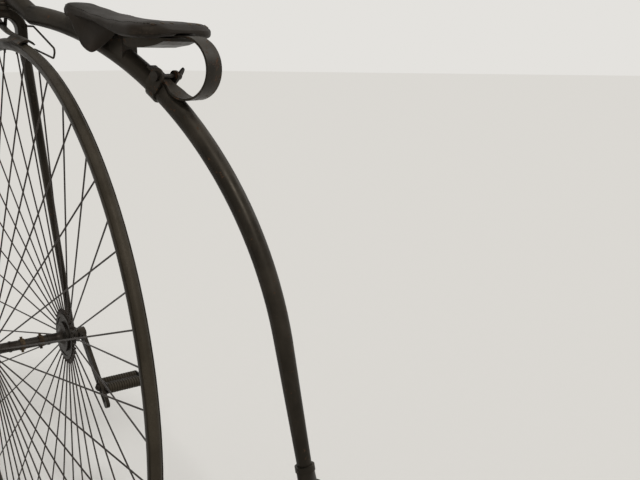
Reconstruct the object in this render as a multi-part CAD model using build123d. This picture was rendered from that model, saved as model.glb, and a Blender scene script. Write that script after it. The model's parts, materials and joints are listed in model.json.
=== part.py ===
from build123d import *
from math import asin, cos, degrees, hypot, radians, sin, sqrt
import os

# A high-wheel bicycle in millimetres: X forward, Y left, Z up. It is drawn round
# the front hub and moved at the end, so that the rider's place on top of the
# saddle is the origin. The front wheel is turned to the right, as it was left.

# Front wheel
FRONT_R = 660.0
TYRE_D = 22.0
RIM_WALL = 1.7
TYRE_SEAT_GAP = 0.3
RIM_LIP_RISE = 4.0
FRONT_SPOKES = 60
SPOKE_D = 3.2
SPOKE_END_GAP = 0.3
SPOKE_PHASE_DEG = 6.0
RIM_SPOKE_SPREAD = 2.5
FLANGE_R = 52.5
FLANGE_T = 6.0
FLANGE_MID_Y = 81.0
FLANGE_LIP = 7.0
FLANGE_DISH = 1.5
FLANGE_STEP_R = 34.0
FLANGE_STEP_T = 4.0
HUB_BARREL_R = 11.0
HUB_FLARE_R = 15.0
HUB_BEAD_R = 12.5
HUB_BEAD_IN_Y = 40.0
HUB_BEAD_OUT_Y = 44.0
AXLE_R = 8.0
FIT = 0.05
COLLAR_R = 12.8
COLLAR_WIDTH = 10.0
COLLAR_Y = (-25.0, 16.0)
STUD_R = 3.0
STUD_LENGTH = 4.5
COLLAR_TURN_DEG = 12.0

# Cranks and pedals
BEARING_R = 17.0
BEARING_WIDTH = 16.0
BEARING_MID_Y = 98.0
CRANK_MID_Y = 121.0
CRANK_BOSS_R = 14.0
CRANK_BOSS_IN_Y = 108.0
CRANK_BOSS_OUT_Y = 126.0
AXLE_STUB = 2.0
CRANK_T = 8.0
CRANK_TIP_R = 193.0
CRANK_ROOT_WIDTH = 22.0
CRANK_TIP_WIDTH = 18.0
CRANK_SLOT_IN_R = 122.0
CRANK_SLOT_MARGIN = 13.0
CRANK_SLOT_OUT_R = CRANK_TIP_R - CRANK_SLOT_MARGIN
CRANK_SLOT_WIDTH = 9.0
RIGHT_CRANK_DEG = -45.0
PEDAL_AT_R = 141.0
PEDAL_PIN_R = 4.4
PEDAL_LENGTH = 88.0
PEDAL_SIDE_GAP = 1.5
PEDAL_SLEEVE_R = 7.0
PEDAL_PLATE_T = 3.0
PEDAL_RUBBER_R = 11.5
PEDAL_RUBBER_SPACING = 38.0
PEDAL_PIN_HEAD_R = 8.0
PEDAL_PIN_HEAD_T = 4.0

# Steering: its axis stands upright through the front hub's centre
STEER_DEG = -21.0
ARCH_RISE = 16.0
ARCH_CENTRE_Z = FRONT_R + ARCH_RISE
ARCH_IN_R = 24.0
ARCH_OUT_R = 44.0
CROWN_FOOT_DROP = 10.0
CROWN_FOOT_Z = FRONT_R - CROWN_FOOT_DROP
CROWN_DEPTH = 30.0
CROWN_EDGE = 5.0
CROWN_SEAT_T = 3.0
LEG_SHOULDER_DROP = 50.0
LEG_SECTIONS = (
    # height above the hub, centre's distance from the wheel's plane, depth, width
    (CROWN_FOOT_Z, 34.5, 30.0, 20.0),
    (CROWN_FOOT_Z - LEG_SHOULDER_DROP, 42.0, 30.0, 19.5),
    (217.0, 78.2, 22.5, 14.5),
    (8.0, BEARING_MID_Y, 19.0, 13.0),
)
SPINDLE_R = 10.0
SPINDLE_STUB = 3.0
HEAD_GAP = 1.5
HEAD_R = 21.0
HEAD_LENGTH = 80.0
STEM_COLLAR_R = 18.0
STEM_COLLAR_T = 9.0
BAR_R = 10.5
BAR_X = 28.0
BAR_LUG_R = 17.0
BAR_LUG_HEIGHT = 34.0
BAR_BOSS_R = 15.5
BAR_BOSS_WIDTH = 52.0
BAR_HALF = 238.0
BAR_STRAIGHT_HALF = 62.0
BAR_DROP = 30.0
BAR_BACK = 52.0
BAR_BEND_R = 180.0
GRIP_LENGTH = 98.0
GRIP_ROOT_R = 12.0
GRIP_R = 17.5
GRIP_TIP_R = 9.0
GRIP_NECK = 6.0
GRIP_WAIST_R = 15.6
GRIP_SHOULDER_R = 15.2
LOOP_WIRE_R = 2.0
LOOP_Y = 49.0
LOOP_TOP_RISE = 24.0
LOOP_TOP_Z = FRONT_R + LOOP_TOP_RISE
LOOP_FOOT_DROP = 24.0
LOOP_FOOT_Z = FRONT_R - LOOP_FOOT_DROP
LOOP_EYE_Y = 38.0
LOOP_EYE_R = 4.5
LOOP_EYE_T = 2.0
LOOP_BACK_X = -158.0
LOOP_BACK_DROP = 24.0
LOOP_BACK_Z = FRONT_R - LOOP_BACK_DROP
LOOP_HEEL_X = -146.0
LOOP_HEEL_DROP = 41.0
LOOP_HEEL_Z = FRONT_R - LOOP_HEEL_DROP
LOOP_BEND_R = 8.0
SPOON_CLEARANCE = 6.0
SPOON_T = 3.0
SPOON_STEM_WIDTH = 14.0
SPOON_FRONT_X = 44.0
SPOON_FRONT_RISE = 39.0
SPOON_FRONT_Z = FRONT_R + SPOON_FRONT_RISE
SPOON_PAD_FROM_DEG = 6.0
SPOON_PAD_TO_DEG = 12.5
SPOON_WRAP_DEG = 55.0
BRAKE_ROD_R = 3.0
BRAKE_ROD_X = 41.0
BRAKE_EAR_T = 4.0
BRAKE_EAR_R = 8.0
BRAKE_PIN_R = 2.5
BRAKE_BARREL_R = 5.0
BRAKE_PIVOT_SHARE = 0.79
LEVER_T = 5.0
LEVER_SECTIONS = (
    # place ahead of the steering axis, place to the left, drop, width
    (41.0, 16.0, 0.0, 16.0),
    (41.0, -34.0, 0.0, 14.0),
    (33.0, -84.0, 8.0, 11.0),
    (6.0, -196.0, 28.0, 9.0),
)
LEVER_GAP = 0.3

# Backbone and rear fork
BACKBONE_RISE = 49.0
BACKBONE_R = FRONT_R + BACKBONE_RISE
BACKBONE_SECTIONS = (
    # degrees rearward from the top of the front wheel, tube diameter
    (7.5, 38.0),
    (24.0, 39.0),
    (42.0, 38.0),
    (60.0, 36.5),
    (79.0, 33.5),
)
BACKBONE_STEP_DEG = 7.15
TAIL_LENGTH = 233.0
TAIL_END_D = 26.5
NECK_ROOT_X = -14.0
NECK_ROOT_RISE = 27.5
NECK_ROOT_HEIGHT = 50.0
NECK_ROOT_WIDTH = 24.0
NECK_ROUND = 0.01
REAR_R = 229.0
REAR_TRAIL = 71.5678
REAR_TYRE_D = 20.0
REAR_SPOKES = 20
REAR_SPOKE_D = 2.8
REAR_FLANGE_R = 24.0
REAR_FLANGE_T = 4.0
REAR_FLANGE_MID_Y = 22.0
REAR_BARREL_R = 13.0
REAR_HUB_HALF = 30.0
REAR_AXLE_R = 5.0
REAR_ARCH_DROP = 62.0
REAR_ARCH_IN_R = 25.0
REAR_ARCH_OUT_R = 42.0
REAR_FOOT_DROP = 88.0
REAR_CROWN_DEPTH = 22.0
REAR_SHOULDER_DROP = 34.0
REAR_SHOULDER_WIDTH = 50.0
REAR_COLLAR_R = 16.5
REAR_COLLAR_T = 9.0
REAR_COLLAR_LIP = 1.5
TAIL_CLEARANCE = 0.2
REAR_DROPOUT_MID_Y = 36.5
REAR_DROPOUT_R = 14.0
REAR_DROPOUT_T = 7.0
REAR_BLADE_TOP_WIDTH = 14.0
REAR_BLADE_END_DEPTH = 15.0
REAR_BLADE_END_WIDTH = 7.0
REAR_NUT_R = 10.0
REAR_NUT_T = 8.0
STEP_DROP = 130.0677
STEP_STALK_R = 6.5
STEP_REACH = 46.0
STEP_PAD_R = 17.0
STEP_PAD_T = 8.0

# Saddle and its spring
SADDLE_RISE = 28.337907
SEAT_TOP_X = -330.0
SEAT_PROFILE_TOP = (
    # places along the bicycle, heights above the saddle's base
    (-212.0, 53.0),
    (-228.0, 61.0),
    (-262.0, 53.0),
    (-340.0, 33.0),
    (-400.0, 26.0),
    (-478.0, 22.0),
    (-496.0, 6.0),
)
SEAT_REST_X = -400.0
SEAT_ARCH_X = -311.0
SEAT_ARCH_RISE = 28.0
SEAT_NOSE_LOW_RISE = 42.0
SEAT_NOSE_R = 42.0
SEAT_NOSE_X = -254.0
SEAT_TAIL_R = 50.0
SEAT_TAIL_X = -446.0
SEAT_TAIL_Y = 44.0
FLAP_OUTLINE = (
    (-240.0, 44.0),
    (-250.0, 32.0),
    (-259.0, 1.0),
    (-266.0, -4.0),
    (-267.0, -12.0),
    (-274.0, -20.0),
    (-299.0, -31.5),
    (-311.0, -28.0),
    (-352.0, -5.0),
    (-374.0, 12.0),
    (-374.0, 20.0),
)
FLAP_T = 5.0
FLAP_Y = 36.0
PAD_DEPTH = 17.0
PAD_FRONT_X = -384.0
PAD_BACK_X = -480.0
PAD_WIDTH = 84.0
LEAF_WIDTH = 38.0
LEAF_T = 4.0
LEAF_FRONT_X = -322.0
LEAF_FRONT_RISE = 3.0
LOOP_CENTRE_X = -502.0
LEAF_TOP_RISE = -4.597068
LEAF_TAIL_X = -396.467769
LEAF_TAIL_DEG = degrees(asin(-LEAF_TAIL_X / BACKBONE_R))
LEAF_TAIL_WIDTH = 22.0
SEAT_GAP = 0.3
SPRING_SEAT_LENGTH = 34.0
BOLT_R = 4.0
BOLT_HEAD_R = 7.5
BOLT_HEAD_T = 5.0
CLAMP_X = -426.686851
CLAMP_DEG = degrees(asin(-CLAMP_X / BACKBONE_R))
CLAMP_WIDTH = 22.0
CLAMP_WALL = 4.0
CLAMP_EAR_Y = 20.5
CLAMP_EAR_T = 5.0
CLAMP_LEFT_R = 15.0
CLAMP_RIGHT_R = 10.0
CLAMP_HEAD_R = 9.0
CLAMP_HEAD_T = 6.0
WING_HUB_LENGTH = 9.0
WING_SPAN = 36.0
WING_HEIGHT = 12.0
WING_T = 3.5
WING_TILT_DEG = 51.0


def rod(start, end, radius):
    start = Vector(*start)
    way = Vector(*end) - start
    return Solid.make_cylinder(radius, way.length, Plane(origin=start, z_dir=way))


def across(radius, y_from, y_to, x=0.0, z=0.0):
    return rod((x, y_from, z), (x, y_to, z), radius)


def side_plate(outline, y_from, y_to):
    face = make_face(Plane.XZ * Polyline(*outline, close=True))
    plate = extrude(face, amount=abs(y_to - y_from), dir=(0, 1, 0))
    return Pos(0, min(y_from, y_to), 0) * plate


def group(solids):
    return Compound(children=[s if isinstance(s, Solid) else s.solid() for s in solids])


def wheel_point(radius, deg, y):
    return (-radius * cos(radians(deg)), y, radius * sin(radians(deg)))


def steered(shape):
    return Rot(0, 0, STEER_DEG) * shape


def tyre(radius, section_d):
    return revolve(Pos(radius - section_d / 2, 0) * Circle(section_d / 2), Axis.Y)


def rim(radius, section_d):
    middle = radius - section_d / 2
    inner = section_d / 2 + TYRE_SEAT_GAP
    outer = inner + RIM_WALL
    ring = Circle(outer) - Circle(inner)
    below_lip = Pos(RIM_LIP_RISE - outer, 0) * Rectangle(2 * outer, 4 * outer)
    return revolve(Pos(middle, 0) * (ring & below_lip), Axis.Y)


def rim_floor(radius, section_d):
    return radius - section_d - TYRE_SEAT_GAP - RIM_WALL


def spokes(count, flange_r, flange_y, floor_r, spread, wire_d, phase):
    wires = []
    for i in range(count):
        deg = phase + i * 360.0 / count
        side = 1 if i % 2 == 0 else -1
        start = wheel_point(flange_r + SPOKE_END_GAP, deg, side * flange_y)
        end = wheel_point(floor_r - SPOKE_END_GAP, deg, side * spread)
        wires.append(rod(start, end, wire_d / 2))
    return wires


def front_hub():
    inside = FLANGE_MID_Y - FLANGE_T / 2
    outside = FLANGE_MID_Y + FLANGE_T / 2
    step = inside - FLANGE_STEP_T
    bore = AXLE_R + FIT
    flare_r = HUB_BARREL_R + HUB_FLARE_R
    flare_y = step - HUB_FLARE_R
    lip_r = FLANGE_R - FLANGE_LIP
    disc = Polyline(
        (bore, outside),
        (FLANGE_R, outside),
        (FLANGE_R, inside),
        (lip_r, inside),
        (lip_r, inside + FLANGE_DISH),
        (FLANGE_STEP_R, inside + FLANGE_DISH),
        (FLANGE_STEP_R, step),
        (flare_r, step),
    )
    flare = ThreePointArc(
        (flare_r, step),
        (flare_r - HUB_FLARE_R * sqrt(0.5), flare_y + HUB_FLARE_R * sqrt(0.5)),
        (HUB_BARREL_R, flare_y),
    )
    barrel = Polyline(
        (HUB_BARREL_R, flare_y),
        (HUB_BARREL_R, HUB_BEAD_OUT_Y),
        (HUB_BEAD_R, HUB_BEAD_OUT_Y),
        (HUB_BEAD_R, HUB_BEAD_IN_Y),
        (HUB_BARREL_R, HUB_BEAD_IN_Y),
        (HUB_BARREL_R, 0),
    )
    half = disc + flare + barrel
    outline = half + mirror(half, Plane.XZ) + Line((bore, -outside), (bore, outside))
    return revolve(make_face(outline), Axis.Y)


def hub_collars():
    parts = []
    for y in COLLAR_Y:
        ring = across(COLLAR_R, y - COLLAR_WIDTH / 2, y + COLLAR_WIDTH / 2)
        stud_r = COLLAR_R + STUD_LENGTH
        stud = rod((0, y, -stud_r), (0, y, stud_r), STUD_R)
        bore = across(HUB_BARREL_R + FIT, y - COLLAR_WIDTH, y + COLLAR_WIDTH)
        parts.append(Rot(0, COLLAR_TURN_DEG, 0) * (ring + stud - bore))
    return group(parts)


def front_axle():
    half = CRANK_BOSS_OUT_Y + AXLE_STUB
    return across(AXLE_R, -half, half)


def crank(side):
    tip = CRANK_TIP_R - CRANK_TIP_WIDTH / 2
    arm = make_face(Plane.XZ * Polyline(
        (0, CRANK_ROOT_WIDTH / 2),
        (tip, CRANK_TIP_WIDTH / 2),
        (tip, -CRANK_TIP_WIDTH / 2),
        (0, -CRANK_ROOT_WIDTH / 2),
        close=True,
    ))
    bar = extrude(arm, amount=CRANK_T / 2, both=True)
    bar += across(CRANK_TIP_WIDTH / 2, -CRANK_T / 2, CRANK_T / 2, x=tip)
    boss_in = side * (CRANK_BOSS_IN_Y - CRANK_MID_Y)
    boss_out = side * (CRANK_BOSS_OUT_Y - CRANK_MID_Y)
    bar += across(CRANK_BOSS_R, boss_in, boss_out)
    bar -= across(AXLE_R + FIT, 2 * boss_in, 2 * boss_out)
    slot_mid = (CRANK_SLOT_IN_R + CRANK_SLOT_OUT_R) / 2
    slot_long = CRANK_SLOT_OUT_R - CRANK_SLOT_IN_R
    slot = Plane.XZ * Pos(slot_mid, 0) * SlotOverall(slot_long, CRANK_SLOT_WIDTH)
    bar -= extrude(slot, amount=CRANK_T, both=True)
    return Pos(0, side * CRANK_MID_Y, 0) * Rot(0, 180 + crank_deg(side), 0) * bar


def crank_deg(side):
    return RIGHT_CRANK_DEG if side < 0 else RIGHT_CRANK_DEG + 180


def pedal_place(side):
    return wheel_point(PEDAL_AT_R, crank_deg(side), 0)


def pedal_pin(side):
    x, _, z = pedal_place(side)
    inner = CRANK_MID_Y - CRANK_T / 2
    start = CRANK_MID_Y + CRANK_T / 2 + PEDAL_SIDE_GAP
    end = start + PEDAL_LENGTH + PEDAL_SIDE_GAP
    pin = across(PEDAL_PIN_R, side * (inner - PEDAL_PIN_HEAD_T), side * end, x, z)
    pin += across(PEDAL_PIN_HEAD_R, side * (inner - PEDAL_PIN_HEAD_T), side * inner, x, z)
    pin += across(PEDAL_SLEEVE_R, side * end, side * (end + PEDAL_PIN_HEAD_T), x, z)
    return pin


def pedal_frame(side):
    x, _, z = pedal_place(side)
    start = CRANK_MID_Y + CRANK_T / 2 + PEDAL_SIDE_GAP
    end = start + PEDAL_LENGTH
    body = across(PEDAL_SLEEVE_R, side * start, side * end, x, z)
    long = PEDAL_RUBBER_SPACING + 2 * PEDAL_RUBBER_R
    for y in (start, end - PEDAL_PLATE_T):
        plate = Plane.XZ * SlotOverall(long, 2 * PEDAL_RUBBER_R)
        plate = extrude(plate, amount=PEDAL_PLATE_T, dir=(0, side, 0))
        body += Pos(x, side * y, z) * plate
    bore = across(PEDAL_PIN_R + FIT, side * (start - 1), side * (end + 1), x, z)
    return body - bore


def pedal_rubbers(side):
    x, _, z = pedal_place(side)
    start = CRANK_MID_Y + CRANK_T / 2 + PEDAL_SIDE_GAP + PEDAL_PLATE_T
    end = start + PEDAL_LENGTH - 2 * PEDAL_PLATE_T
    bars = []
    for dx in (-PEDAL_RUBBER_SPACING / 2, PEDAL_RUBBER_SPACING / 2):
        bars.append(across(PEDAL_RUBBER_R, side * start, side * end, x + dx, z))
    return group(bars)


def crown_top():
    return ARCH_CENTRE_Z + ARCH_OUT_R


def head_foot():
    return crown_top() + CROWN_SEAT_T + HEAD_GAP


def head_top():
    return head_foot() + HEAD_LENGTH


def fork_crown():
    outline = Pos(0, (CROWN_FOOT_Z + ARCH_CENTRE_Z) / 2) * Rectangle(
        2 * ARCH_OUT_R, ARCH_CENTRE_Z - CROWN_FOOT_Z)
    outline += Pos(0, ARCH_CENTRE_Z) * Circle(ARCH_OUT_R)
    outline -= Pos(0, (CROWN_FOOT_Z + ARCH_CENTRE_Z) / 2) * Rectangle(
        2 * ARCH_IN_R, ARCH_CENTRE_Z - CROWN_FOOT_Z)
    outline -= Pos(0, ARCH_CENTRE_Z) * Circle(ARCH_IN_R)
    above_foot = Pos(0, CROWN_FOOT_Z + ARCH_OUT_R) * Rectangle(4 * ARCH_OUT_R, 2 * ARCH_OUT_R)
    arch = extrude(Plane.YZ * (outline & above_foot), amount=CROWN_DEPTH / 2, both=True)
    rims = arch.edges().filter_by(GeomType.CIRCLE)
    arch = fillet(rims, CROWN_EDGE)
    seat = Pos(0, 0, crown_top() - CROWN_EDGE + (CROWN_EDGE + CROWN_SEAT_T) / 2)
    arch += seat * Cylinder(HEAD_R, CROWN_EDGE + CROWN_SEAT_T)
    low = crown_top() - CROWN_EDGE
    top = bar_z() + BAR_LUG_HEIGHT / 2 + SPINDLE_STUB
    arch += Pos(0, 0, (low + top) / 2) * Cylinder(SPINDLE_R, top - low)
    return arch + brake_ear(1) + brake_ear(-1)


def brake_ear(side):
    pivot = brake_pivot()
    inner = side * (SPOON_STEM_WIDTH / 2 + SEAT_GAP)
    outer = inner + side * BRAKE_EAR_T
    back_x = CROWN_DEPTH / 2 - CROWN_EDGE
    low = ARCH_CENTRE_Z + ARCH_IN_R + CROWN_EDGE
    ear = side_plate((
        (back_x, low),
        (back_x, low + BRAKE_EAR_R),
        (CROWN_DEPTH / 2 + 1, low + BRAKE_EAR_R),
        (pivot.X + BRAKE_EAR_R, pivot.Z),
        (pivot.X, pivot.Z - BRAKE_EAR_R),
        (CROWN_DEPTH / 2 + 1, pivot.Z),
    ), inner, outer)
    return ear - across(BRAKE_PIN_R + FIT, inner - side, outer + side, pivot.X, pivot.Z)


def leg_sections(side):
    faces = []
    for z, y, depth, width in LEG_SECTIONS:
        faces.append(Pos(0, side * y, z) * Ellipse(depth / 2, width / 2))
    return faces


def fork_leg(side):
    leg = loft(leg_sections(side), ruled=True)
    inner = side * (BEARING_MID_Y - BEARING_WIDTH)
    outer = side * (BEARING_MID_Y + BEARING_WIDTH)
    return leg - across(BEARING_R, inner, outer)


def fork_bearing(side):
    inner = side * (BEARING_MID_Y - BEARING_WIDTH / 2)
    outer = side * (BEARING_MID_Y + BEARING_WIDTH / 2)
    return across(BEARING_R, inner, outer) - across(AXLE_R + FIT, inner, outer)


def tube_radius(deg):
    before = BACKBONE_SECTIONS[0]
    for after in BACKBONE_SECTIONS[1:]:
        if deg <= after[0]:
            break
        before = after
    share = (deg - before[0]) / (after[0] - before[0])
    return (before[1] + share * (after[1] - before[1])) / 2


def arc_point(deg, radius=BACKBONE_R):
    return Vector(-radius * sin(radians(deg)), 0, radius * cos(radians(deg)))


def arc_way(deg):
    return Vector(-cos(radians(deg)), 0, -sin(radians(deg)))


def tube_face(deg):
    place = Plane(origin=arc_point(deg), x_dir=(0, 1, 0), z_dir=arc_way(deg))
    return place * Circle(tube_radius(deg))


def tail_end():
    last = BACKBONE_SECTIONS[-1][0]
    return arc_point(last) + arc_way(last) * TAIL_LENGTH


def backbone():
    first = BACKBONE_SECTIONS[0][0]
    last = BACKBONE_SECTIONS[-1][0]
    count = round((last - first) / BACKBONE_STEP_DEG)
    faces = [tube_face(first + (last - first) * i / count) for i in range(count + 1)]
    bend = loft(faces)
    end = Plane(origin=tail_end(), x_dir=(0, 1, 0), z_dir=arc_way(last))
    tail = loft([tube_face(last), end * Circle(TAIL_END_D / 2)])
    return bend + tail


def upright(origin, way):
    return Plane(origin=origin, x_dir=(way.Z, 0, -way.X), z_dir=way)


def head_socket():
    middle = (head_foot() + head_top()) / 2
    socket = Pos(0, 0, middle) * Cylinder(HEAD_R, HEAD_LENGTH)
    first = BACKBONE_SECTIONS[0][0]
    root = upright(Vector(NECK_ROOT_X, 0, head_foot() + NECK_ROOT_RISE), Vector(-1, 0, 0))
    end = upright(arc_point(first), arc_way(first))
    neck = loft([
        root * Ellipse(NECK_ROOT_HEIGHT / 2, NECK_ROOT_WIDTH / 2),
        end * Ellipse(tube_radius(first) + NECK_ROUND, tube_radius(first)),
    ])
    bore = Pos(0, 0, middle) * Cylinder(SPINDLE_R + FIT, 2 * HEAD_LENGTH)
    return socket + neck - bore


def bar_z():
    return head_top() + HEAD_GAP + STEM_COLLAR_T + BAR_LUG_HEIGHT / 2


def bar_lug():
    low = head_top() + HEAD_GAP
    collar = Pos(0, 0, low + STEM_COLLAR_T / 2) * Cylinder(STEM_COLLAR_R, STEM_COLLAR_T)
    body = Pos(0, 0, bar_z()) * Cylinder(BAR_LUG_R, BAR_LUG_HEIGHT)
    web = Pos(BAR_X / 2, 0, bar_z()) * Box(BAR_X, 1.4 * BAR_LUG_R, 0.7 * BAR_LUG_HEIGHT)
    boss = across(BAR_BOSS_R, -BAR_BOSS_WIDTH / 2, BAR_BOSS_WIDTH / 2, BAR_X, bar_z())
    lug = collar + body + web + boss + lever_bracket()
    lug -= across(BAR_R + FIT, -BAR_BOSS_WIDTH, BAR_BOSS_WIDTH, BAR_X, bar_z())
    lug -= Pos(0, 0, bar_z()) * Cylinder(SPINDLE_R + FIT, 4 * BAR_LUG_HEIGHT)
    return lug


def bar_ends():
    z = bar_z()
    end = Vector(BAR_X - BAR_BACK, BAR_HALF, z - BAR_DROP)
    knee = Vector(BAR_X, BAR_STRAIGHT_HALF, z)
    return knee, end


def mirrored(point):
    return Vector(point.X, -point.Y, point.Z)


def handlebar():
    knee, end = bar_ends()
    path = FilletPolyline(mirrored(end), mirrored(knee), knee, end, radius=BAR_BEND_R)
    start = Plane(origin=path @ 0, z_dir=path % 0)
    return sweep(start * Circle(BAR_R), path)


def grip(side):
    knee, end = bar_ends()
    if side < 0:
        knee, end = mirrored(knee), mirrored(end)
    widest = 0.68 * GRIP_LENGTH
    line = Polyline((0, 0), (GRIP_ROOT_R, 0), (GRIP_ROOT_R, GRIP_NECK))
    line += ThreePointArc(
        (GRIP_ROOT_R, GRIP_NECK), (GRIP_WAIST_R, (GRIP_NECK + widest) / 2), (GRIP_R, widest))
    line += ThreePointArc(
        (GRIP_R, widest), (GRIP_SHOULDER_R, (widest + GRIP_LENGTH) / 2), (GRIP_TIP_R, GRIP_LENGTH))
    line += Polyline((GRIP_TIP_R, GRIP_LENGTH), (0, GRIP_LENGTH), (0, 0))
    pear = revolve(make_face(Plane.XZ * line), Axis.Z)
    return Plane(origin=end, z_dir=end - knee) * pear


def wire_loop():
    face_x = -CROWN_DEPTH / 2
    eye_x = face_x - LOOP_EYE_T
    path = FilletPolyline(
        (eye_x, -LOOP_EYE_Y, LOOP_TOP_Z),
        (eye_x - 18, -LOOP_Y, LOOP_TOP_Z - 1),
        (LOOP_BACK_X, -LOOP_Y, LOOP_BACK_Z),
        (LOOP_HEEL_X, -LOOP_Y, LOOP_HEEL_Z),
        (eye_x - 18, -LOOP_Y, LOOP_FOOT_Z + 1),
        (eye_x, -LOOP_EYE_Y, LOOP_FOOT_Z),
        radius=LOOP_BEND_R,
    )
    start = Plane(origin=path @ 0, z_dir=path % 0)
    wire = sweep(start * Circle(LOOP_WIRE_R), path)
    for z in (LOOP_TOP_Z, LOOP_FOOT_Z):
        wire += rod((face_x, -LOOP_EYE_Y, z), (face_x - LOOP_EYE_T - LOOP_WIRE_R, -LOOP_EYE_Y, z),
                    LOOP_EYE_R)
    return wire


def spoon_r():
    return TYRE_D / 2 + SPOON_CLEARANCE


def brake_spoon():
    middle = FRONT_R - TYRE_D / 2
    ring = Circle(spoon_r() + SPOON_T) - Circle(spoon_r())
    reach = 2 * (spoon_r() + SPOON_T)
    low = Rot(0, 0, SPOON_WRAP_DEG) * Pos(0, reach / 2) * Rectangle(4 * reach, reach)
    high = Rot(0, 0, -SPOON_WRAP_DEG) * Pos(0, -reach / 2) * Rectangle(4 * reach, reach)
    wrap = Pos(middle, 0) * ((ring - low - high) & (Pos(reach / 2, 0) * Rectangle(reach, 2 * reach)))
    sweep_deg = SPOON_PAD_TO_DEG - SPOON_PAD_FROM_DEG
    pad = Rot(0, -90 - SPOON_PAD_TO_DEG, 0) * revolve(wrap, Axis.Y, sweep_deg)
    band = extrude(Plane.XZ * trace(spoon_line(), SPOON_T), amount=SPOON_STEM_WIDTH / 2, both=True)
    pivot = brake_pivot()
    half = SPOON_STEM_WIDTH / 2
    barrel = across(BRAKE_BARREL_R, -half, half, pivot.X, pivot.Z)
    pin_half = half + SEAT_GAP + BRAKE_EAR_T
    pin = across(BRAKE_PIN_R, -pin_half, pin_half, pivot.X, pivot.Z)
    anvil_low = SPOON_FRONT_Z - 2 * SPOON_T
    anvil = rod((BRAKE_ROD_X, 0, anvil_low), (BRAKE_ROD_X, 0, anvil_top()), BRAKE_BARREL_R)
    return pad + band + barrel + pin + anvil


def spoon_line():
    middle = FRONT_R - TYRE_D / 2
    join = arc_point(SPOON_PAD_FROM_DEG, middle + spoon_r() + SPOON_T / 2)
    way = arc_way(SPOON_PAD_FROM_DEG)
    return TangentArc((join.X, join.Z), (SPOON_FRONT_X, SPOON_FRONT_Z), tangent=(-way.X, -way.Z))


def brake_pivot():
    at = spoon_line() @ BRAKE_PIVOT_SHARE
    return Vector(at.X, 0, at.Y)


def anvil_top():
    return SPOON_FRONT_Z + SPOON_T


def brake_lever():
    top = bar_z() - BAR_BOSS_R - LEVER_GAP
    faces = []
    for x, y, drop, width in LEVER_SECTIONS:
        place = Plane(origin=(x, y, top - LEVER_T / 2 - drop), x_dir=(1, 0, 0), z_dir=(0, -1, 0))
        faces.append(place * Rectangle(width, LEVER_T))
    bar = loft(faces, ruled=True)
    root = LEVER_SECTIONS[0][3] / 2
    bar += rod((BRAKE_ROD_X, LEVER_SECTIONS[0][1], top - LEVER_T), (BRAKE_ROD_X, LEVER_SECTIONS[0][1], top),
               root)
    tip_x, tip_y, drop, width = LEVER_SECTIONS[-1]
    low = top - LEVER_T - drop
    return bar + rod((tip_x, tip_y, low), (tip_x, tip_y, low + LEVER_T), width / 2)


def lever_bracket():
    low = bar_z() - BAR_BOSS_R
    root_y = LEVER_SECTIONS[0][1]
    root = LEVER_SECTIONS[0][3] / 2
    middle_x = (BAR_X + BRAKE_ROD_X + root) / 2
    block = Box(BRAKE_ROD_X + root - BAR_X, 2 * root, BAR_BOSS_R)
    return Pos(middle_x, root_y, low + BAR_BOSS_R / 2) * block


def brake_rod():
    top = bar_z() - BAR_BOSS_R - LEVER_GAP - LEVER_T
    return rod((BRAKE_ROD_X, 0, anvil_top() + SEAT_GAP), (BRAKE_ROD_X, 0, top - SEAT_GAP), BRAKE_ROD_R)


def rear_hub_place():
    return Vector(tail_end().X - REAR_TRAIL, 0, REAR_R - FRONT_R)


def rear_plane():
    way = (tail_end() - rear_hub_place()).normalized()
    return Plane(origin=rear_hub_place(), x_dir=(way.Z, 0, -way.X), z_dir=way)


def rear_length():
    return (tail_end() - rear_hub_place()).length


def rear_crown():
    centre = rear_length() - REAR_ARCH_DROP
    foot = rear_length() - REAR_FOOT_DROP
    outline = Pos(0, centre) * Circle(REAR_ARCH_OUT_R)
    outline += Pos(0, (centre + foot) / 2) * Rectangle(2 * REAR_ARCH_OUT_R, centre - foot)
    outline -= Pos(0, centre) * Circle(REAR_ARCH_IN_R)
    outline -= Pos(0, centre / 2) * Rectangle(2 * REAR_ARCH_IN_R, centre)
    below = Pos(0, foot / 2) * Rectangle(4 * REAR_ARCH_OUT_R, foot)
    arch = extrude(Plane.YZ * (outline - below), amount=REAR_CROWN_DEPTH / 2, both=True)
    arch = fillet(arch.edges().filter_by(GeomType.CIRCLE), CROWN_EDGE)
    arch = rear_plane().location * arch
    last = BACKBONE_SECTIONS[-1][0]
    shoulder_at = rear_plane().location * Pos(0, 0, rear_length() - REAR_SHOULDER_DROP)
    top = Plane(origin=tail_end(), x_dir=(0, 1, 0), z_dir=arc_way(last))
    shoulder = Plane(shoulder_at)
    shoulder = Plane(origin=shoulder.origin, x_dir=(0, 1, 0), z_dir=-shoulder.z_dir)
    neck = loft([
        top * Ellipse(REAR_COLLAR_R + NECK_ROUND, REAR_COLLAR_R),
        shoulder * Ellipse(REAR_SHOULDER_WIDTH / 2, REAR_CROWN_DEPTH / 2),
    ])
    low = tail_end() + arc_way(last) * REAR_COLLAR_LIP
    high = tail_end() - arc_way(last) * REAR_COLLAR_T
    collar = rod(low, high, REAR_COLLAR_R + REAR_COLLAR_LIP)
    bore = rod(tail_end(), high - arc_way(last), TAIL_END_D / 2 + TAIL_CLEARANCE)
    return arch + neck + collar - bore


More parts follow.
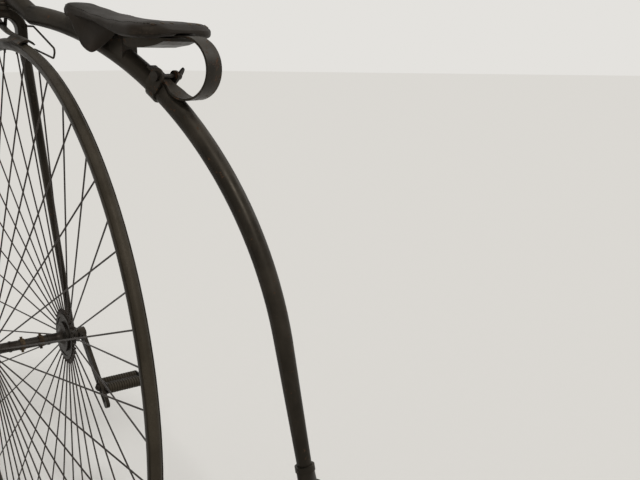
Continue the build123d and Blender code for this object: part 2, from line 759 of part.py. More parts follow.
def rear_blade(side):
    foot = rear_length() - REAR_FOOT_DROP
    mid_y = (REAR_ARCH_OUT_R + REAR_ARCH_IN_R) / 2
    blade = loft([
        Pos(0, side * mid_y, foot) * Ellipse(REAR_CROWN_DEPTH / 2, REAR_BLADE_TOP_WIDTH / 2),
        Pos(0, side * REAR_DROPOUT_MID_Y, 0)
        * Ellipse(REAR_BLADE_END_DEPTH / 2, REAR_BLADE_END_WIDTH / 2),
    ])
    inner = side * (REAR_DROPOUT_MID_Y - REAR_DROPOUT_T / 2)
    outer = side * (REAR_DROPOUT_MID_Y + REAR_DROPOUT_T / 2)
    blade -= across(2 * REAR_DROPOUT_R, outer, side * 2 * REAR_DROPOUT_MID_Y)
    blade += across(REAR_DROPOUT_R, inner, outer)
    blade -= across(REAR_AXLE_R + FIT, side * REAR_HUB_HALF, side * 2 * REAR_DROPOUT_MID_Y)
    return rear_plane().location * blade


def rear_axle():
    half = REAR_DROPOUT_MID_Y + REAR_DROPOUT_T / 2
    shaft = across(REAR_AXLE_R, -half, half)
    shaft += across(REAR_NUT_R, half, half + REAR_NUT_T)
    shaft += across(REAR_NUT_R, -half - REAR_NUT_T, -half)
    return Pos(*rear_hub_place()) * shaft


def rear_hub():
    inside = REAR_FLANGE_MID_Y - REAR_FLANGE_T / 2
    outside = REAR_FLANGE_MID_Y + REAR_FLANGE_T / 2
    half = [
        (REAR_BARREL_R, inside),
        (REAR_FLANGE_R, inside),
        (REAR_FLANGE_R, outside),
        (REAR_BARREL_R, outside),
        (REAR_BARREL_R, REAR_HUB_HALF),
        (REAR_AXLE_R + FIT, REAR_HUB_HALF),
    ]
    other = [(r, -y) for r, y in reversed(half)]
    return revolve(make_face(Polyline(*half, *other, close=True)), Axis.Y)


def step_peg():
    mid_y = (REAR_ARCH_OUT_R + REAR_ARCH_IN_R) / 2
    end_y = mid_y + STEP_REACH
    peg = across(STEP_STALK_R, mid_y, end_y)
    peg += Pos(0, end_y - STEP_PAD_R / 2, STEP_STALK_R) * Box(2 * STEP_PAD_R, 2 * STEP_PAD_R, STEP_PAD_T)
    return rear_plane().location * Pos(0, 0, rear_length() - STEP_DROP) * peg - rear_blade(1)


def backbone_z(x):
    return sqrt(BACKBONE_R ** 2 - x ** 2)


def saddle_base():
    return backbone_z(LEAF_FRONT_X) + SADDLE_RISE


def over_base(outline):
    return [(x, saddle_base() + rise) for x, rise in outline]


def seat_pan():
    nose = Pos(SEAT_NOSE_X, 0) * CenterArc((0, 0), SEAT_NOSE_R, 0, 360)
    left = Pos(SEAT_TAIL_X, SEAT_TAIL_Y) * CenterArc((0, 0), SEAT_TAIL_R, 0, 360)
    right = Pos(SEAT_TAIL_X, -SEAT_TAIL_Y) * CenterArc((0, 0), SEAT_TAIL_R, 0, 360)
    plan = make_hull([nose.edge(), left.edge(), right.edge()])
    top = saddle_base() + SEAT_PROFILE_TOP[1][1]
    tail_x = SEAT_PROFILE_TOP[-1][0]
    rest = leaf_z(SEAT_REST_X) + LEAF_T / 2 + SEAT_GAP
    bottom = leaf_z(tail_x) + LEAF_T / 2 + SEAT_GAP
    column = Pos(0, 0, bottom - SEAT_TAIL_R) * extrude(plan, amount=top - bottom + 2 * SEAT_TAIL_R)
    under = (
        (tail_x, bottom),
        (SEAT_REST_X, rest),
        (SEAT_ARCH_X, saddle_base() + SEAT_ARCH_RISE),
        (SEAT_PROFILE_TOP[0][0], saddle_base() + SEAT_NOSE_LOW_RISE),
    )
    side = side_plate((*over_base(SEAT_PROFILE_TOP), *under), -3 * SEAT_TAIL_R, 3 * SEAT_TAIL_R)
    return column & side


def saddle_leather():
    leather = seat_pan()
    for side in (1, -1):
        leather += side_plate(over_base(FLAP_OUTLINE), side * FLAP_Y, side * (FLAP_Y + FLAP_T))
    return leather


def leaf_loop():
    # The loop touches the leaf's flat top from below and the leaf's tail, which
    # lies on the backbone: those two and its place along the bicycle give its size.
    tail_r = BACKBONE_R + tube_radius(CLAMP_DEG) + SEAT_GAP + LEAF_T / 2
    top_z = saddle_base() + LEAF_TOP_RISE
    loop_r = (LOOP_CENTRE_X ** 2 + top_z ** 2 - tail_r ** 2) / (2 * (top_z + tail_r))
    centre_z = top_z - loop_r
    tail_deg = degrees(asin(-LOOP_CENTRE_X / hypot(LOOP_CENTRE_X, centre_z)))
    return tail_deg, tail_r, loop_r, centre_z


def leaf_path():
    tail_deg, tail_r, loop_r, centre_z = leaf_loop()
    top = (LOOP_CENTRE_X, centre_z + loop_r)
    back = (LOOP_CENTRE_X - loop_r, centre_z)
    join = arc_point(tail_deg, tail_r)
    mid = arc_point((tail_deg + LEAF_TAIL_DEG) / 2, tail_r)
    end = arc_point(LEAF_TAIL_DEG, tail_r)
    front = (LEAF_FRONT_X, top[1] + LEAF_FRONT_RISE)
    return (Line(front, top)
            + ThreePointArc(top, back, (LOOP_CENTRE_X, centre_z - loop_r))
            + ThreePointArc((LOOP_CENTRE_X, centre_z - loop_r),
                            (LOOP_CENTRE_X + loop_r * sin(radians(tail_deg / 2)),
                             centre_z - loop_r * cos(radians(tail_deg / 2))),
                            (join.X, join.Z))
            + ThreePointArc((join.X, join.Z), (mid.X, mid.Z), (end.X, end.Z)))


def saddle_spring():
    strip = extrude(Plane.XZ * trace(leaf_path(), LEAF_T), amount=LEAF_WIDTH / 2, both=True)
    bolt_x = LEAF_FRONT_X - SPRING_SEAT_LENGTH / 2
    strip -= Pos(bolt_x, 0, leaf_z(bolt_x)) * Cylinder(BOLT_R + FIT, 2 * LEAF_WIDTH)
    return strip - leaf_tail_cut(1) - leaf_tail_cut(-1)


def leaf_tail_cut(side):
    tail_deg, tail_r, _, _ = leaf_loop()
    at = arc_point(tail_deg, tail_r)
    place = Plane(origin=at, x_dir=(0, 1, 0), z_dir=arc_point(tail_deg, 1))
    length = tail_r * radians(tail_deg - LEAF_TAIL_DEG)
    narrow = side * LEAF_TAIL_WIDTH / 2
    wide = side * LEAF_WIDTH / 2
    outline = Polyline(
        (narrow, -length - LEAF_T),
        (narrow, -length / 3),
        (wide, 0),
        (2 * wide, 0),
        (2 * wide, -length - LEAF_T),
        close=True,
    )
    return extrude(place * make_face(outline), amount=LEAF_TAIL_WIDTH, both=True)


def leaf_z(x):
    share = (x - LOOP_CENTRE_X) / (LEAF_FRONT_X - LOOP_CENTRE_X)
    return saddle_base() + LEAF_TOP_RISE + share * LEAF_FRONT_RISE


def spring_seat():
    back_x = LEAF_FRONT_X - SPRING_SEAT_LENGTH
    tube_z = backbone_z(LEAF_FRONT_X)
    block = side_plate((
        (LEAF_FRONT_X, leaf_z(LEAF_FRONT_X) - LEAF_T / 2 - SEAT_GAP),
        (LEAF_FRONT_X, tube_z),
        (back_x, tube_z - SPRING_SEAT_LENGTH),
        (back_x, leaf_z(back_x) - LEAF_T / 2 - SEAT_GAP),
    ), -LEAF_WIDTH / 2, LEAF_WIDTH / 2)
    block -= backbone()
    block = block.solids().sort_by(Axis.Z)[-1]
    bolt_x = (LEAF_FRONT_X + back_x) / 2
    low = leaf_z(bolt_x) - LEAF_T / 2 - SEAT_GAP
    top = leaf_z(bolt_x) + LEAF_T / 2 + SEAT_GAP
    bolt = rod((bolt_x, 0, low), (bolt_x, 0, top), BOLT_R)
    head = rod((bolt_x, 0, top), (bolt_x, 0, top + BOLT_HEAD_T), BOLT_HEAD_R)
    return block + bolt + head


def spring_pad():
    top_front = leaf_z(PAD_FRONT_X) - LEAF_T / 2 - SEAT_GAP
    top_back = leaf_z(PAD_BACK_X) - LEAF_T / 2 - SEAT_GAP
    low = top_front - PAD_DEPTH
    outline = (
        (PAD_FRONT_X, top_front),
        (PAD_BACK_X, top_back),
        (PAD_BACK_X, top_back - PAD_DEPTH / 3),
        (PAD_BACK_X + PAD_DEPTH, low + PAD_DEPTH / 4),
        (PAD_BACK_X + 3 * PAD_DEPTH, low),
        (PAD_FRONT_X - PAD_DEPTH, low),
        (PAD_FRONT_X, low + PAD_DEPTH / 3),
    )
    return side_plate(outline, -PAD_WIDTH / 2, PAD_WIDTH / 2)


def clamp_bolt_at():
    leaf_top = tube_radius(CLAMP_DEG) + SEAT_GAP + LEAF_T
    return arc_point(CLAMP_DEG, BACKBONE_R + leaf_top + SEAT_GAP + BOLT_R)


def clamp_ear(side, round_r):
    bolt = clamp_bolt_at()
    rise = bolt.length - BACKBONE_R
    inner = side * CLAMP_EAR_Y
    outer = side * (CLAMP_EAR_Y + CLAMP_EAR_T)
    place = Plane(origin=arc_point(CLAMP_DEG), x_dir=(0, 1, 0), z_dir=arc_way(CLAMP_DEG))
    web = place.location * Pos((inner + outer) / 2, -rise / 2, 0) * Box(CLAMP_EAR_T, rise, 2 * round_r)
    return web + across(round_r, inner, outer, bolt.X, bolt.Z)


def spring_clamp():
    place = Plane(origin=arc_point(CLAMP_DEG), x_dir=(0, 1, 0), z_dir=arc_way(CLAMP_DEG))
    inner_r = tube_radius(CLAMP_DEG) + SEAT_GAP
    band_r = inner_r + CLAMP_WALL
    band = extrude(place * (Circle(band_r) - Circle(inner_r)), amount=CLAMP_WIDTH / 2, both=True)
    band -= place.location * Pos(0, -band_r, 0) * Box(2 * CLAMP_EAR_Y, 2 * band_r, 2 * CLAMP_WIDTH)
    band += clamp_ear(1, CLAMP_LEFT_R)
    band += clamp_ear(-1, CLAMP_RIGHT_R)
    bolt = clamp_bolt_at()
    return band - across(BOLT_R + FIT, -2 * band_r, 2 * band_r, bolt.X, bolt.Z)


def wing_nut():
    bolt = clamp_bolt_at()
    face = CLAMP_EAR_Y + CLAMP_EAR_T
    end = face + WING_HUB_LENGTH
    pin = across(BOLT_R, -end, face, bolt.X, bolt.Z)
    pin += across(CLAMP_HEAD_R, face, face + CLAMP_HEAD_T, bolt.X, bolt.Z)
    pin += across(BOLT_HEAD_R, -end, -face, bolt.X, bolt.Z)
    along = Vector(-cos(radians(WING_TILT_DEG)), 0, sin(radians(WING_TILT_DEG)))
    wing_at = Plane(origin=(bolt.X, -end, bolt.Z), x_dir=along, z_dir=(along.Z, 0, -along.X))
    return pin + extrude(wing_at * Ellipse(WING_SPAN / 2, WING_HEIGHT / 2), amount=WING_T / 2, both=True)


PARTS = {}


def keep(name, shape):
    PARTS[name] = Pos(-SEAT_TOP_X, 0, -seat_top_z()) * shape


def seat_top_z():
    height = SEAT_PROFILE_TOP[0][1]
    for (x0, z0), (x1, z1) in zip(SEAT_PROFILE_TOP, SEAT_PROFILE_TOP[1:]):
        if x1 <= SEAT_TOP_X <= x0:
            height = z0 + (z1 - z0) * (x0 - SEAT_TOP_X) / (x0 - x1)
    return saddle_base() + height


def build_front_wheel():
    floor_r = rim_floor(FRONT_R, TYRE_D)
    keep("front_tyre", steered(tyre(FRONT_R, TYRE_D)))
    keep("front_rim", steered(rim(FRONT_R, TYRE_D)))
    wires = spokes(FRONT_SPOKES, FLANGE_R, FLANGE_MID_Y, floor_r, RIM_SPOKE_SPREAD,
                   SPOKE_D, SPOKE_PHASE_DEG)
    keep("front_spokes", steered(group(wires)))
    keep("front_hub", steered(front_hub()))
    keep("hub_collars", steered(hub_collars()))
    keep("front_axle", steered(front_axle()))
    for name, side in (("left", 1), ("right", -1)):
        keep("crank_" + name, steered(crank(side)))
        keep("pedal_pin_" + name, steered(pedal_pin(side)))
        keep("pedal_frame_" + name, steered(pedal_frame(side)))
        keep("pedal_rubbers_" + name, steered(pedal_rubbers(side)))


def build_steering():
    keep("fork_crown", steered(fork_crown()))
    for name, side in (("left", 1), ("right", -1)):
        keep("fork_leg_" + name, steered(fork_leg(side)))
        keep("fork_bearing_" + name, steered(fork_bearing(side)))
        keep("grip_" + name, steered(grip(side)))
    keep("bar_lug", steered(bar_lug()))
    keep("handlebar", steered(handlebar()))
    keep("wire_loop", steered(wire_loop()))
    keep("brake_spoon", steered(brake_spoon()))
    keep("brake_lever", steered(brake_lever()))
    keep("brake_rod", steered(brake_rod()))


def build_rear():
    floor_r = rim_floor(REAR_R, REAR_TYRE_D)
    place = Pos(*rear_hub_place())
    keep("rear_tyre", place * tyre(REAR_R, REAR_TYRE_D))
    keep("rear_rim", place * rim(REAR_R, REAR_TYRE_D))
    wires = spokes(REAR_SPOKES, REAR_FLANGE_R, REAR_FLANGE_MID_Y, floor_r, RIM_SPOKE_SPREAD,
                   REAR_SPOKE_D, SPOKE_PHASE_DEG)
    keep("rear_spokes", place * group(wires))
    keep("rear_hub", place * rear_hub())
    keep("rear_axle", rear_axle())
    keep("rear_crown", rear_crown())
    keep("rear_blade_left", rear_blade(1))
    keep("rear_blade_right", rear_blade(-1))
    keep("step_peg", step_peg())


def build_frame():
    keep("backbone", backbone())
    keep("head_socket", head_socket())
    keep("saddle_leather", saddle_leather())
    keep("saddle_spring", saddle_spring())
    keep("spring_seat", spring_seat())
    keep("spring_pad", spring_pad())
    keep("spring_clamp", spring_clamp())
    keep("wing_nut", wing_nut())


def main():
    os.makedirs("parts", exist_ok=True)
    build_front_wheel()
    build_steering()
    build_rear()
    build_frame()
    for name, shape in PARTS.items():
        export_step(shape, "parts/" + name + ".step")


main()
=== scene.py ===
import json
from math import atan2, cos, pi, radians, sin, sqrt

import bmesh
import bpy
from mathutils import Matrix, Vector


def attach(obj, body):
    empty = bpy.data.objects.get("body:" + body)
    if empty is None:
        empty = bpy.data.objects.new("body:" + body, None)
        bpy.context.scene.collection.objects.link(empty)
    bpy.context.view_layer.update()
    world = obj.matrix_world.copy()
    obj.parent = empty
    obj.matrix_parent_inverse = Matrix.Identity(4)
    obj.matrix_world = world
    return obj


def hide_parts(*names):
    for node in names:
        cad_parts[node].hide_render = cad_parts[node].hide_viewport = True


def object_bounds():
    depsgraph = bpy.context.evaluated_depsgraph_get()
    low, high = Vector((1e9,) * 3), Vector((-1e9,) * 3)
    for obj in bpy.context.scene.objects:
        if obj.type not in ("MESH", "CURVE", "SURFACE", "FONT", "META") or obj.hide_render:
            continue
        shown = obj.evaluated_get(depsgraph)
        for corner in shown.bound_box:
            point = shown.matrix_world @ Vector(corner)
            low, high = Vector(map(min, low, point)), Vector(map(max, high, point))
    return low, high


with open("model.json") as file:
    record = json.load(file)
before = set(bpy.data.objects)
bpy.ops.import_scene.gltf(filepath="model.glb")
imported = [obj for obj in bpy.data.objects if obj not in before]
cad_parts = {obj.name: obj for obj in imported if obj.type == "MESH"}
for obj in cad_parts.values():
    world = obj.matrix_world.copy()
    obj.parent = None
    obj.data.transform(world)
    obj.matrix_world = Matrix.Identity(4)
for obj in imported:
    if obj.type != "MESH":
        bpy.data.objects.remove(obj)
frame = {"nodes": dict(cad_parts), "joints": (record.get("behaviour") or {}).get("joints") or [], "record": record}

bl_info = {
    "name": "High-Wheel Bicycle Finish",
    "version": (1, 0, 0),
    "blender": (4, 5, 0),
    "location": "3D View > Sidebar > High Wheel",
    "description": "Finishes, hide saddle, small fittings and a studio for the packed high-wheel bicycle",
    "category": "Object",
}

CAD_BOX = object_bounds()
JOINTS = {joint["name"]: joint for joint in frame["joints"]}
FRONT_HUB = Vector(JOINTS["front_wheel_spin"]["pos_m"])
REAR_HUB = Vector(JOINTS["rear_wheel_spin"]["pos_m"])
WHEEL_AXIS = Vector(JOINTS["front_wheel_spin"]["axis"]).normalized()
STEER_AXIS = Vector(JOINTS["steering_turn"]["axis"]).normalized()
FLOOR_Z = CAD_BOX[0][2]

# Where the part's solids lie, in metres from the front hub: out along the axle
BEARING_OUT = 0.098
CRANK_MID_OUT = 0.1125
CRANK_FACE_OUT = 0.1134
AXLE_END_OUT = 0.128

# The steering head and its stem, up the steering's axis
HEAD_BOTTOM, HEAD_TOP = 0.7245, 0.8045
HEAD_SIDE = 0.0204
STEM_TOP = 0.849

# The left grip: the bar's bend before it, its root and its length
GRIP_KNEE = Vector((0.028, 0.062, 0.8320))
GRIP_ROOT = Vector((-0.024, 0.238, 0.8020))
GRIP_LENGTH = 0.098

# Cranks and pedals: angles run rearward and upwards, as for the spokes
CRANK_ANGLES = {1: radians(135), -1: radians(-45)}
PEDAL_REACH = 0.141
PEDAL_IN, PEDAL_OUT = 0.1297, 0.2113
PEDAL_BARS_AT = (-0.019, 0.019)
PEDAL_PLATE_T = 0.0030

# Rear axle's ends, from the plane of the rear wheel
REAR_AXLE_OUT = 0.0400


def axes_at(origin, left, up):
    """A matrix whose Y points left, whose Z points up and whose origin is the given place."""
    ahead = left.cross(up).normalized()
    up = ahead.cross(left).normalized()
    turn = Matrix((ahead, left.normalized(), up)).transposed()
    return Matrix.Translation(origin) @ turn.to_4x4()


# Where pieces are modelled from: the steering's axes and the frame's, both at the front hub, and the
# frame's at the rear hub
FRONT = axes_at(FRONT_HUB, WHEEL_AXIS, STEER_AXIS)
BIKE = Matrix.Translation(FRONT_HUB)
REAR = Matrix.Translation(REAR_HUB)


# Sizes and colours

def length(label, about, default):
    return bpy.props.FloatProperty(
        name=label, description=about, default=default, min=0.0, unit="LENGTH", precision=4)


def colour(label, about, default):
    return bpy.props.FloatVectorProperty(
        name=label, description=about, default=default, size=3, min=0.0, max=1.0, subtype="COLOR")


class HighWheelColours(bpy.types.PropertyGroup):
    enamel: colour("Enamel", "Worn black enamel on the frame, fork and rims", (0.0082, 0.0070, 0.0054))
    enamel_dust: colour("Dusty enamel", "Enamel dulled by dust and handling", (0.0235, 0.0195, 0.0150))
    # Dust, and also the colour of the painted highlight on the upper faces of the enamel and the rubber
    dust: colour("Dust", "Fine dust that lies on what faces upwards", (0.062, 0.053, 0.041))
    rust: colour("Rust", "Bare iron where the enamel has gone", (0.050, 0.024, 0.012))
    steel: colour("Dark steel", "Hub, axle and nuts, dark with age", (0.028, 0.024, 0.019))
    wire: colour("Spoke wire", "Thin spoke wire, browned", (0.016, 0.0108, 0.0074))
    brass: colour("Stud brass", "Tarnished studs of the hub collars", (0.078, 0.053, 0.029))
    rubber: colour("Tyre rubber", "Aged solid rubber", (0.0190, 0.0152, 0.0100))
    hide: colour("Saddle hide", "Old near-black hide", (0.0088, 0.0066, 0.0052))
    hide_worn: colour("Rubbed hide", "Hide where it is rubbed", (0.027, 0.0190, 0.0140))
    grip_wood: colour("Grip wood", "Dark stained wood of the grips", (0.022, 0.0115, 0.0075))
    floor: colour("Floor", "Plain pale studio floor", (0.80, 0.785, 0.755))


class HighWheelSizes(bpy.types.PropertyGroup):
    front_spokes: bpy.props.IntProperty(
        name="Front spokes", description="Wires in the big wheel", default=60, min=12)
    rear_spokes: bpy.props.IntProperty(
        name="Rear spokes", description="Wires in the small wheel", default=20, min=6)
    first_spoke: bpy.props.FloatProperty(
        name="First spoke", description="Angle of the first wire, rearward from the hub",
        default=radians(6.0), subtype="ANGLE")
    rim_floor: length("Rim floor", "Radius of the big rim's inner side", 0.636)
    flange: length("Flange radius", "Radius of the big hub's flanges", 0.0525)
    flange_mid: length("Flange place", "Distance of a flange from the wheel's plane", 0.081)
    rim_spread: length("Rim spread", "Distance of a wire's end from the wheel's plane", 0.0025)
    wire: length("Wire radius", "Radius of the big wheel's wires", 0.0016)
    rear_wire: length("Rear wire radius", "Radius of the small wheel's wires", 0.0014)
    rear_rim_floor: length("Rear rim floor", "Radius of the small rim's inner side", 0.207)
    rear_flange: length("Rear flange radius", "Radius of the small hub's flanges", 0.024)
    rear_flange_mid: length("Rear flange place", "Distance of a small flange from the plane", 0.022)
    stitch: length("Stitch spacing", "Distance between the saddle's stitches", 0.0065)
    pedal_rubber: length("Pedal rubber", "Radius of a pedal's rubber bars", 0.0115)
    rib_height: length("Rib height", "How far a rib stands out of its bar", 0.0014)
    rib: length("Pedal rib", "Distance between the ribs of a pedal's rubber bars", 0.0058)


def colours():
    return bpy.context.scene.high_wheel_colours


def sizes():
    return bpy.context.scene.high_wheel_sizes


# Shader building

def put(tree, kind, inputs=None, **settings):
    """Adds a node, with its settings and its inputs, where an input is a value or a socket."""
    made = tree.nodes.new(kind)
    for key, value in settings.items():
        setattr(made, key, value)
    for key, value in (inputs or {}).items():
        if isinstance(value, bpy.types.NodeSocket):
            tree.links.new(value, made.inputs[key])
        else:
            made.inputs[key].default_value = value
    return made


def rgba(values):
    return (values[0], values[1], values[2], 1.0)


def gloss(shader, level, warmth=(1.0, 0.86, 0.68)):
    """Sets how much light the skin of a coat turns back, browned a little by age."""
    shader.inputs["Specular IOR Level"].default_value = level
    shader.inputs["Specular Tint"].default_value = rgba(warmth)


def finish_tree(name):
    material = bpy.data.materials.new(name)
    material.use_nodes = True
    tree = material.node_tree
    tree.nodes.clear()
    out = put(tree, "ShaderNodeOutputMaterial")
    shader = put(tree, "ShaderNodeBsdfPrincipled")
    tree.links.new(shader.outputs["BSDF"], out.inputs["Surface"])
    place = put(tree, "ShaderNodeTexCoord").outputs["Object"]
    return material, tree, shader, place


def speckle(tree, place, scale, detail=4.0, roughness=0.55, stretch=None):
    if stretch is not None:
        place = put(tree, "ShaderNodeMapping", {"Vector": place, "Scale": stretch}).outputs["Vector"]
    return put(tree, "ShaderNodeTexNoise", {
        "Vector": place, "Scale": scale, "Detail": detail, "Roughness": roughness}).outputs["Fac"]


def between(tree, field, low, high, to_low=0.0, to_high=1.0, smooth=False):
    return put(tree, "ShaderNodeMapRange", {
        "Value": field, "From Min": low, "From Max": high, "To Min": to_low, "To Max": to_high},
        interpolation_type="SMOOTHSTEP" if smooth else "LINEAR").outputs["Result"]


def blend_colour(tree, field, first, second):
    mixer = put(tree, "ShaderNodeMix", {"Factor": field}, data_type="RGBA")
    for socket, value in ((mixer.inputs[6], first), (mixer.inputs[7], second)):
        if isinstance(value, bpy.types.NodeSocket):
            tree.links.new(value, socket)
        else:
            socket.default_value = rgba(value)
    return mixer.outputs[2]


def scaled(tone, share, lift=0.0):
    return [min(1.0, share * channel + lift) for channel in tone]


def halfway(first, second):
    return [0.5 * (a + b) for a, b in zip(first, second)]


def relief(tree, height, distance, strength, normal=None):
    inputs = {"Height": height, "Distance": distance, "Strength": strength}
    if normal is not None:
        inputs["Normal"] = normal
    return put(tree, "ShaderNodeBump", inputs).outputs["Normal"]


def maths(tree, operation, *values):
    """Adds one Math node, whose values are numbers or sockets, and gives its result."""
    return put(tree, "ShaderNodeMath", dict(enumerate(values)), operation=operation).outputs[0]


def dust_and_top_light(tree, place, amount):
    """How much dust and painted highlight lie at a point: more on what faces up, which paints the upper side
    lighter as if lit from above, and broken where hands and cloths passed.
    """
    facing = put(tree, "ShaderNodeSeparateXYZ", {0: put(tree, "ShaderNodeTexCoord").outputs["Normal"]})
    # Painted highlight as well as dust: the more a face points up, the lighter it is painted
    lies = between(tree, facing.outputs["Z"], 0.05, 0.95, 0.0, amount, smooth=True)
    broken = between(tree, speckle(tree, place, 27.0, 6.0, 0.65), 0.36, 0.66)
    return maths(tree, "MULTIPLY", lies, broken)


def worn_enamel(name, coat, dulled, bare, dust, chips=0.64):
    material, tree, shader, place = finish_tree(name)
    cloud = speckle(tree, place, 9.0, 5.0)
    streak = speckle(tree, place, 42.0, 6.0, 0.62, (1.0, 1.0, 0.35))
    flaw = speckle(tree, place, 74.0, 8.0, 0.72)
    fine = speckle(tree, place, 230.0, 5.0, 0.7)
    scratch = speckle(tree, place, 150.0, 2.0, 0.5, (0.06, 1.0, 1.0))
    toned = blend_colour(tree, between(tree, cloud, 0.42, 0.70, smooth=True), coat, dulled)
    toned = blend_colour(tree, between(tree, streak, 0.50, 0.76, 0.0, 0.6), toned, dulled)
    toned = blend_colour(tree, between(tree, scratch, 0.70, 0.76, 0.0, 0.7), toned, dulled)
    halo = between(tree, flaw, chips - 0.035, chips, 0.0, 0.55)
    toned = blend_colour(tree, halo, toned, halfway(coat, bare))
    chip = between(tree, flaw, chips, chips + 0.02)
    toned = blend_colour(tree, chip, toned, bare)
    # Dust and painted highlight: the enamel's upper side is painted lighter with the dust colour, and made rougher
    lies = dust_and_top_light(tree, place, 0.62)
    tree.links.new(blend_colour(tree, lies, toned, dust), shader.inputs["Base Color"])
    rough = between(tree, streak, 0.3, 0.75, 0.27, 0.48)
    rough = maths(tree, "MULTIPLY_ADD", chip, 0.28, rough)
    rough = maths(tree, "MULTIPLY_ADD", lies, 0.40, rough)
    tree.links.new(rough, shader.inputs["Roughness"])
    lacquer = relief(tree, fine, 0.0004, 0.22)
    lacquer = relief(tree, scratch, 0.0003, 0.10, lacquer)
    coat_left = maths(tree, "SUBTRACT", 1.0, chip)
    tree.links.new(relief(tree, coat_left, 0.0005, 0.55, lacquer), shader.inputs["Normal"])
    gloss(shader, 0.17)
    return material


def dark_steel(name, bright, stain, metallic=0.75):
    material, tree, shader, place = finish_tree(name)
    cloud = speckle(tree, place, 38.0, 6.0, 0.6)
    spots = speckle(tree, place, 190.0, 4.0, 0.7)
    base = blend_colour(tree, between(tree, cloud, 0.40, 0.68, smooth=True), bright, stain)
    tree.links.new(base, shader.inputs["Base Color"])
    tree.links.new(between(tree, spots, 0.3, 0.8, 0.34, 0.66), shader.inputs["Roughness"])
    tree.links.new(relief(tree, spots, 0.0003, 0.25), shader.inputs["Normal"])
    shader.inputs["Metallic"].default_value = metallic
    return material


def aged_rubber(name, tone, dust):
    material, tree, shader, place = finish_tree(name)
    cloud = speckle(tree, place, 14.0, 5.0)
    pale = scaled(tone, 1.75, 0.004)
    base = blend_colour(tree, between(tree, cloud, 0.38, 0.76, smooth=True), tone, pale)
    grit = speckle(tree, place, 320.0, 6.0, 0.75)
    cracks = put(tree, "ShaderNodeTexVoronoi", {"Vector": place, "Scale": 210.0},
                 feature="DISTANCE_TO_EDGE").outputs["Distance"]
    open_crack = between(tree, cracks, 0.0, 0.035)
    # The cracks are painted darker than the rubber: painted shade in them
    dark = scaled(tone, 0.45)
    scuffed = between(tree, speckle(tree, place, 66.0, 7.0, 0.7), 0.60, 0.74, 0.0, 0.45)
    base = blend_colour(tree, scuffed, blend_colour(tree, open_crack, dark, base), dust)
    # Dust and painted highlight: the rubber's upper side is painted lighter with the dust colour
    lies = dust_and_top_light(tree, place, 0.50)
    tree.links.new(blend_colour(tree, lies, base, dust), shader.inputs["Base Color"])
    tree.links.new(between(tree, cloud, 0.3, 0.8, 0.46, 0.66), shader.inputs["Roughness"])
    fine = relief(tree, grit, 0.0004, 0.25)
    tree.links.new(relief(tree, open_crack, 0.0003, 0.35, fine), shader.inputs["Normal"])
    gloss(shader, 0.22)
    return material


def old_hide(name, tone, worn):
    material, tree, shader, place = finish_tree(name)
    cloud = speckle(tree, place, 13.0, 6.0, 0.6)
    scuff = speckle(tree, place, 46.0, 8.0, 0.72, (0.35, 1.0, 1.0))
    pores = put(tree, "ShaderNodeTexVoronoi", {"Vector": place, "Scale": 620.0},
                feature="DISTANCE_TO_EDGE").outputs["Distance"]
    grain = put(tree, "ShaderNodeTexVoronoi", {"Vector": place, "Scale": 240.0}).outputs["Distance"]
    crease = speckle(tree, place, 21.0, 3.0, 0.45, (0.5, 1.6, 1.0))
    fold = maths(tree, "ABSOLUTE", maths(tree, "SUBTRACT", crease, 0.5))
    line = between(tree, fold, 0.0, 0.022)
    rubbed = between(tree, cloud, 0.50, 0.74, smooth=True)
    base = blend_colour(tree, rubbed, tone, halfway(tone, worn))
    base = blend_colour(tree, between(tree, scuff, 0.60, 0.74), base, worn)
    # The crease lines are painted darker: painted shade in the folds
    base = blend_colour(tree, line, scaled(tone, 0.55), base)
    tree.links.new(base, shader.inputs["Base Color"])
    tree.links.new(between(tree, cloud, 0.3, 0.75, 0.62, 0.44), shader.inputs["Roughness"])
    skin = relief(tree, between(tree, pores, 0.0, 0.3), 0.00025, 0.30)
    skin = relief(tree, grain, 0.0004, 0.22, skin)
    tree.links.new(relief(tree, line, 0.0006, 0.35, skin), shader.inputs["Normal"])
    gloss(shader, 0.20)
    return material


def stained_wood(name, tone):
    material, tree, shader, place = finish_tree(name)
    grain = speckle(tree, place, 150.0, 5.0, 0.6, (1.0, 0.07, 1.0))
    pores = speckle(tree, place, 520.0, 3.0, 0.6, (1.0, 0.10, 1.0))
    rubbed = speckle(tree, place, 24.0, 4.0)
    base = blend_colour(tree, between(tree, grain, 0.40, 0.62), tone, scaled(tone, 2.4))
    base = blend_colour(tree, between(tree, pores, 0.60, 0.70), base, scaled(tone, 0.4))
    base = blend_colour(tree, between(tree, rubbed, 0.48, 0.68), base, tone)
    tree.links.new(base, shader.inputs["Base Color"])
    tree.links.new(between(tree, rubbed, 0.3, 0.7, 0.30, 0.52), shader.inputs["Roughness"])
    skin = relief(tree, grain, 0.0002, 0.16)
    tree.links.new(relief(tree, pores, 0.0002, 0.20, skin), shader.inputs["Normal"])
    gloss(shader, 0.34)
    return material


FINISHES = {}


# Mesh building

def add_piece(name, mesh, finish, body, smooth_deg=None):
    """Links a finished mesh as a piece that rides on a body."""
    if smooth_deg is None:
        mesh.shade_smooth()
    else:
        mesh.set_sharp_from_angle(angle=radians(smooth_deg))
    mesh.materials.clear()
    mesh.materials.append(FINISHES[finish])
    piece = bpy.data.objects.new(name, mesh)
    bpy.context.scene.collection.objects.link(piece)
    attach(piece, body)
    return piece


def mesh_from(name, shape, place=None):
    """Turns a bmesh into a mesh with faces outwards, set in its place."""
    bmesh.ops.remove_doubles(shape, verts=shape.verts, dist=1e-6)
    bmesh.ops.recalc_face_normals(shape, faces=shape.faces)
    if place is not None:
        shape.transform(place)
    mesh = bpy.data.meshes.new(name)
    shape.to_mesh(mesh)
    shape.free()
    return mesh


